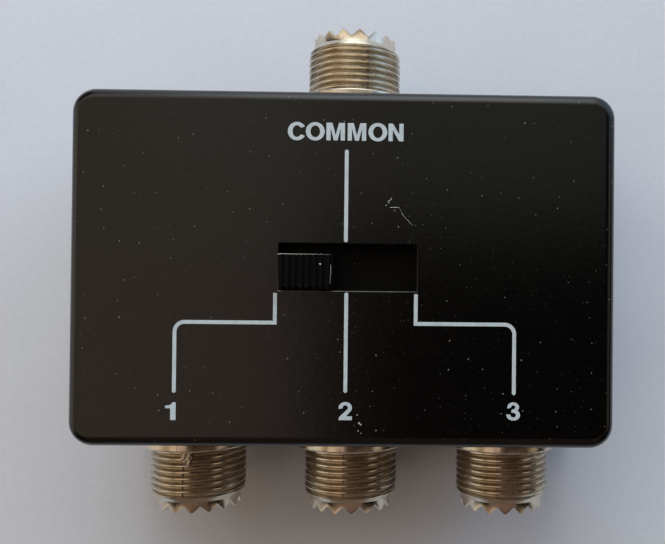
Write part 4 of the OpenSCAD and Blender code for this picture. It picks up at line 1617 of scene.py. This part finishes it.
@dataclass
class Lint:
    """Fine strands and crumbs of lint on the face, and pale strands along the knob's edges that are
    lint and a painted highlight there.

    Attributes:
        case: The box.
        knob: The slide knob.
        lift: How far a strand's middle stands over its surface, in its radii.
        swell: How much its thickness varies.
        spots: The face's crumbs: place in millimetres, and radius in metres.
        hair: The points of the hair on the face, in millimetres.
        curl: The points of the curled strand beside it.
    """

    case: CaseBox
    knob: Knob
    lift: float = 0.6
    swell: float = 0.35
    spots: tuple[Point, ...] = (
        (6.41, 9.82, 0.06 * MM), (2.29, -22.31, 0.07 * MM), (2.6, -23.6, 0.12 * MM),
        (2.86, -23.8, 0.09 * MM), (2.47, -24.75, 0.06 * MM), (2.9, -25.1, 0.05 * MM))
    hair: tuple[Pair, ...] = (
        (6.99, 9.49), (7.7, 9.52), (8.38, 9.54), (8.6, 9.2), (8.8, 8.66), (9.2, 8.15),
        (9.75, 7.58), (10.13, 7.12), (10.54, 6.75))
    curl: tuple[Pair, ...] = (
        (7.24, 10.95), (7.15, 10.68), (6.87, 10.55), (6.68, 10.42), (6.88, 10.13))

    def strand(self, fibre: Fibre, level: float) -> bpy.types.Object:
        """Models a strand: a small ring drawn from point to point, with uneven thickness.

        Args:
            fibre: The strand.
            level: The height of the surface that it lies on.

        Returns:
            The closed strand.
        """
        Bench.clear()
        x, y = fibre.points[0]
        height = level + self.lift * fibre.radius
        ahead = Vector((fibre.points[1][0] - x, fibre.points[1][1] - y, 0))
        turn = (math.pi / 2, 0, math.atan2(ahead.y, ahead.x) - math.pi / 2)
        bpy.ops.mesh.primitive_circle_add(vertices=8, radius=fibre.radius, fill_type="NGON",
                                          location=(x * MM, y * MM, height), rotation=turn)
        strand = Bench.named(fibre.name)
        Bench.settle(strand)
        Bench.edit_all(strand)
        for k, (next_x, next_y) in enumerate(fibre.points[1:], start=1):
            step = ((next_x - x) * MM, (next_y - y) * MM, 0)
            bpy.ops.mesh.extrude_region_move(TRANSFORM_OT_translate={"value": step})
            swell = 1 + self.swell * math.sin(2.3 * k)
            bpy.ops.transform.resize(value=(swell, swell, swell),
                                     center_override=(next_x * MM, next_y * MM, height))
            x, y = next_x, next_y
        Bench.done()
        Bench.clean(strand, 0.0001 * MM)
        Bench.smooth(strand, 50)
        return strand

    def edge_points(self, start: Pair, end: Pair, steps: int, sway: float) -> tuple[Pair, ...]:
        """Draws points that wander along a straight edge.

        Args:
            start: The edge's first point, in millimetres.
            end: Its last point.
            steps: The number of steps between them.
            sway: How far the points wander off it.

        Returns:
            The points, in millimetres.
        """
        points = []
        across = (end[1] - start[1], start[0] - end[0])
        size = math.hypot(*across)
        for k in range(steps + 1):
            t = k / steps
            off = sway * (0.6 * math.sin(2.9 * k) + 0.4 * math.sin(1.3 * k + 1))
            points.append((start[0] + (end[0] - start[0]) * t + across[0] / size * off,
                           start[1] + (end[1] - start[1]) * t + across[1] / size * off))
        return tuple(points)

    def crumb(self, name: str, x: float, y: float, size: float, level: float) -> bpy.types.Object:
        """Models a crumb: a coarse ball, flattened and pulled out of round.

        Args:
            name: The crumb's name.
            x: Its place along X, in millimetres.
            y: Its place along Y, in millimetres.
            size: Its radius, in metres.
            level: The height of its middle.

        Returns:
            The crumb.
        """
        Bench.clear()
        bpy.ops.mesh.primitive_ico_sphere_add(subdivisions=2, radius=size,
                                              location=(x * MM, y * MM, level))
        crumb = Bench.named(name)
        crumb.scale = (1.0, 1.5, 0.6)
        crumb.rotation_euler = (0, 0, 0.5)
        Bench.settle(crumb)
        Bench.edit(crumb, Select.VERTS, lambda c, n: n.x > 0.3)
        bpy.ops.transform.translate(value=(0.3 * size, 0.4 * size, 0))
        Bench.done()
        return crumb

    def build(self) -> None:
        """Lays the strands and crumbs down."""
        top, knob_top = self.case.top, self.knob.high.z
        x0, x1 = self.knob.left / MM, (self.knob.left + self.knob.length) / MM
        y1 = self.knob.upper / MM
        sunk = knob_top - 0.03 * MM
        # Pale strands along the knob's upper and right edges: lint, and a painted highlight on
        # those edges.
        along = self.edge_points((x0 + 0.05, y1 - 0.02), (x1 - 0.05, y1 - 0.02), 44, 0.05)
        down = self.edge_points((x1 - 0.02, y1 - 1.6), (x1 - 0.12, y1 - 4.4), 16, 0.07)
        fibres = (
            (Fibre("lint_hair", CASE, "black_paint", self.hair, 0.035 * MM), top),
            (Fibre("lint_curl", CASE, "black_paint", self.curl, 0.05 * MM), top),
            (Fibre("lint_and_highlight_upper_edge", SLIDER, "black_plastic", along, 0.05 * MM), sunk),
            (Fibre("lint_and_highlight_right_edge", SLIDER, "black_plastic", down, 0.03 * MM), sunk))
        for fibre, level in fibres:
            finish_piece(self.strand(fibre, level), fibre.body, Finishes.lint)
        crumb = self.crumb("lint_crumb", x1 - 1.65, y1 - 1.5, 0.11 * MM, knob_top)
        finish_piece(crumb, SLIDER, Finishes.lint)
        crumbs = [self.crumb("lint_crumbs", *self.spots[0], top)]
        crumbs += [self.crumb("crumb", *spot, top) for spot in self.spots[1:]]
        Bench.join(crumbs[0], crumbs[1:])
        finish_piece(crumbs[0], CASE, Finishes.lint)


# ---------------------------------------------------------------- stage, lights and camera


@dataclass(frozen=True)
class Glow:
    """A soft round patch of the room's walls.

    Attributes:
        toward: The direction of its middle.
        inner: The angle round it that is all patch, in degrees.
        outer: The angle at which it ends, in degrees.
        colour: Its colour, as gloss mirrors it.
        lit: How much stronger it lights what isn't glossy.
    """

    toward: Point
    inner: float
    outer: float
    colour: Colour
    lit: float = 1.0

    def share(self, web: Web, toward: Feed) -> bpy.types.NodeSocket:
        """Works out how much of the patch shows.

        Args:
            web: The world's nodes.
            toward: The direction that is looked in.

        Returns:
            Its share there, from 0 to 1.
        """
        inputs = {0: toward, 1: Vector(self.toward).normalized()}
        dot = web.add("ShaderNodeVectorMath", inputs, operation="DOT_PRODUCT").outputs["Value"]
        edge, full = (math.cos(math.radians(angle)) for angle in (self.outer, self.inner))
        return web.spread(dot, edge, full)


@dataclass(frozen=True)
class Panel:
    """A soft-edged rectangle of the room's ceiling.

    Attributes:
        low: Its lowest reach along X and Y, for each metre up.
        high: Its highest reach along X and Y.
        soft: Half the width of its soft edge.
        colour: Its colour, as gloss mirrors it.
        lit: How much stronger it lights what isn't glossy.
        horizon: The heights between which it fades out, low in the room.
    """

    low: Pair
    high: Pair
    soft: float
    colour: Colour
    lit: float = 1.0
    horizon: Pair = (0.02, 0.12)

    def share(self, web: Web, toward: Feed) -> bpy.types.NodeSocket:
        """Works out how much of the panel shows.

        Args:
            web: The world's nodes.
            toward: The direction that is looked in.

        Returns:
            Its share there, from 0 to 1.
        """
        x, y, z = web.axes(toward)
        up = web.maths("MAXIMUM", z, self.horizon[0])
        total = web.spread(z, *self.horizon)
        for part, low, high in zip((x, y), self.low, self.high):
            slope = web.maths("DIVIDE", part, up)
            past_low = web.spread(slope, low - self.soft, low + self.soft)
            before_high = web.spread(slope, high - self.soft, high + self.soft, 1.0, 0.0)
            total = web.maths("MULTIPLY", web.maths("MULTIPLY", total, past_low), before_high)
        return total


@dataclass(frozen=True)
class Lamp:
    """A soft rectangular lamp that faces the switch."""

    name: str
    place: Point
    size: Pair
    power: float
    colour: Colour


@dataclass(frozen=True)
class CameraFit:
    """The camera as fitted to the photograph.

    Attributes:
        focal: The focal length, in pixels.
        centre: The principal point, in pixels.
        size: The photograph's width and height, in pixels.
        tilt: The turn away from looking straight down, as an axis times degrees.
        place: Where the camera stands.
        sensor: The sensor's width, in millimetres.
        clip: The nearest and the farthest distance seen.
    """

    focal: float = 700.93
    centre: Pair = (430.35, 288.32)
    size: tuple[int, int] = (665, 544)
    tilt: Point = (-0.45463, 1.18918, -0.55966)
    place: Point = (11.088 * MM, -3.695 * MM, 137.523 * MM)
    sensor: float = 36.0
    clip: Pair = (0.005, 20)


@dataclass
class Stage:
    """The sheet of paper under the switch, the room, the lamps and the camera.

    Attributes:
        paper: The sheet's colour.
        paper_tint: How dark its fibres are beside it.
        paper_wave: The depth of its waves.
        backdrop: What the camera sees beyond the sheet.
        room: The soft patches of light around the switch.
        lamps: The lamps.
        fit: The camera's values.
    """

    paper: Colour = (0.64, 0.67, 0.73)
    paper_tint: float = 0.96
    paper_wave: float = 1.2 * MM
    backdrop: Colour = (0.58, 0.60, 0.64)
    room: tuple[Glow | Panel, ...] = (
        Panel((-0.45, -0.35), (-0.15, 0.09), 0.05, (0.60, 0.46, 0.38)),
        Panel((-0.9, -0.5), (-0.45, 0.09), 0.05, (0.64, 0.49, 0.37)),
        Panel((-2.4, -0.8), (-0.9, 0.3), 0.15, (0.30, 0.22, 0.14)),
        Panel((-0.45, 0.09), (-0.15, 0.5), 0.05, (0.62, 0.56, 0.46)),
        Panel((-0.9, 0.09), (-0.45, 0.6), 0.05, (0.50, 0.44, 0.36)),
        Panel((-0.15, 0.11), (0.35, 0.5), 0.06, (0.36, 0.35, 0.31)),
        Panel((-0.9, 0.50), (0.9, 1.5), 0.07, (1.12, 1.03, 0.90), 0.5),
        Panel((1.2, -0.8), (3.0, 0.5), 0.15, (0.46, 0.37, 0.28)),
        Panel((-0.9, -1.2), (0.9, -0.35), 0.06, (0.17, 0.11, 0.085), 1.5),
        Panel((-2.4, 0.3), (-0.9, 1.2), 0.15, (0.60, 0.49, 0.37), 2.6),
        Glow((-1, 0, 0.2), 8, 36, (0.76, 0.69, 0.60), 1.1),
        Glow((1, 0.8, 0.3), 8, 34, (0.72, 0.98, 1.30), 3.0),
        Glow((0, 1, 0.2), 8, 32, (1.25, 1.32, 1.35), 2.0),
        Glow((0, 1, 0.6), 8, 26, (1.25, 1.45, 1.60), 1.6),
        Glow((0, -1, 0.1), 10, 50, (0.15, 0.11, 0.085)),
    )
    lamps: tuple[Lamp, ...] = (
        Lamp("window_light", (-0.09, 0.29, 0.21), (0.45, 0.25), 0.68, (0.96, 0.97, 1.0)),
    )
    fit: CameraFit = CameraFit()

    def floor(self) -> None:
        """Lays the paper as a large flat sheet."""
        cells, size = 60, 2.4
        Bench.clear()
        bpy.ops.mesh.primitive_grid_add(x_subdivisions=cells, y_subdivisions=cells, size=size,
                                        location=(0, 0, 0))
        sheet = Bench.named("paper_floor")
        sheet.data.materials.append(self.paper_material())

    def paper_material(self) -> bpy.types.Material:
        """Builds the paper with its fibres and its faint waves.

        Returns:
            The finished material.
        """
        fibre_scale, wave_scale, fibre_height = 900, 14, 0.01
        material = bpy.data.materials.new("pale_paper")
        material.use_nodes = True
        web = Web(material.node_tree)
        inputs = {"Roughness": 0.85, "Specular IOR Level": 0.25}
        shader = web.add("ShaderNodeBsdfPrincipled", inputs)
        web.add("ShaderNodeOutputMaterial", {"Surface": shader.outputs[0]})
        place = web.place()
        fibre = web.noise(place, fibre_scale, 4, 0.6)
        wave = web.noise(place, wave_scale, 2, 0.5)
        tint = tuple(c * self.paper_tint for c in self.paper)
        colour = web.mix(web.spread(fibre, *FINE_BAND), self.paper, tint)
        web.feed(shader.inputs["Base Color"], colour)
        height = web.maths("ADD", web.maths("MULTIPLY", fibre, fibre_height), wave)
        web.feed(shader.inputs["Normal"], web.bump(self.paper_wave, height))
        return material

    def world(self) -> None:
        """Sets a dim room around the object, as soft patches of light.

        Metal and gloss mirror each patch in its colour, and it lights the rest more or less
        strongly, as its lit says. The camera sees the plain backdrop.
        """
        world = bpy.data.worlds.new("room")
        bpy.context.scene.world = world
        world.use_nodes = True
        web = Web(world.node_tree)
        toward = web.add("ShaderNodeTexCoord").outputs["Generated"]
        ray = web.add("ShaderNodeLightPath").outputs
        seen = web.maths("MAXIMUM", ray["Is Camera Ray"], ray["Is Glossy Ray"])
        total = None
        for patch in self.room:
            share = patch.share(web, toward)
            if patch.lit != 1.0:
                share = web.maths("MULTIPLY", share, web.spread(seen, 0.0, 1.0, patch.lit, 1.0))
            inputs = {0: patch.colour, "Scale": share}
            part = web.add("ShaderNodeVectorMath", inputs, operation="SCALE").outputs[0]
            if total is None:
                total = part
            else:
                total = web.add("ShaderNodeVectorMath", {0: total, 1: part}).outputs[0]
        shown = web.mix(ray["Is Camera Ray"], total, self.backdrop)
        glow = web.add("ShaderNodeBackground", {"Color": shown, "Strength": 1.0})
        web.add("ShaderNodeOutputWorld", {"Surface": glow.outputs[0]})

    def lights(self) -> None:
        """Places the lamps, each facing the switch."""
        for lamp in self.lamps:
            Bench.clear()
            bpy.ops.object.light_add(type="AREA", location=lamp.place)
            light = bpy.context.object
            light.name = lamp.name
            light.data.shape = "RECTANGLE"
            light.data.size, light.data.size_y = lamp.size
            light.data.energy = lamp.power
            light.data.color = lamp.colour
            light.visible_glossy = False
            light.rotation_euler = (-Vector(lamp.place)).to_track_quat("-Z", "Y").to_euler()

    def camera(self) -> None:
        """Sets the camera as fitted to the photograph."""
        fit = self.fit
        width, height = fit.size
        tilt = Vector(math.radians(a) for a in fit.tilt)
        data = bpy.data.cameras.new("photo_camera")
        data.sensor_fit = "HORIZONTAL"
        data.sensor_width = fit.sensor
        data.lens = fit.focal / width * data.sensor_width
        data.shift_x = (width / 2 - fit.centre[0]) / width
        data.shift_y = (fit.centre[1] - height / 2) / width
        data.clip_start, data.clip_end = fit.clip
        cam = bpy.data.objects.new("photo_camera", data)
        bpy.context.scene.collection.objects.link(cam)
        turn = Matrix.Rotation(-tilt.length, 4, tilt.normalized())
        cam.matrix_world = Matrix.Translation(fit.place) @ turn
        bpy.context.scene.camera = cam


def dress_frame() -> None:
    """Gives every CAD node the finish of its material slot."""
    for entry in frame["record"]["subparts"]:
        node = frame["nodes"][entry["node"]]
        dress(node, Finishes.by_slot[entry["material_slot"]])


def main() -> None:
    """Builds the switch, its stage and its camera."""
    logging.basicConfig(level=logging.INFO, format="%(message)s")
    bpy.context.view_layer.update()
    stage = Stage()
    stage.camera()
    dress_frame()
    case = CaseBox()
    case.build()
    Legend(case).build()
    PortShell(case).build_all()
    knob = Knob(case)
    knob.build()
    Lint(case, knob).build()
    stage.floor()
    stage.world()
    stage.lights()
    Bench.clear()
    bpy.context.scene.view_settings.view_transform = "Standard"


if __name__ == "__main__":
    main()
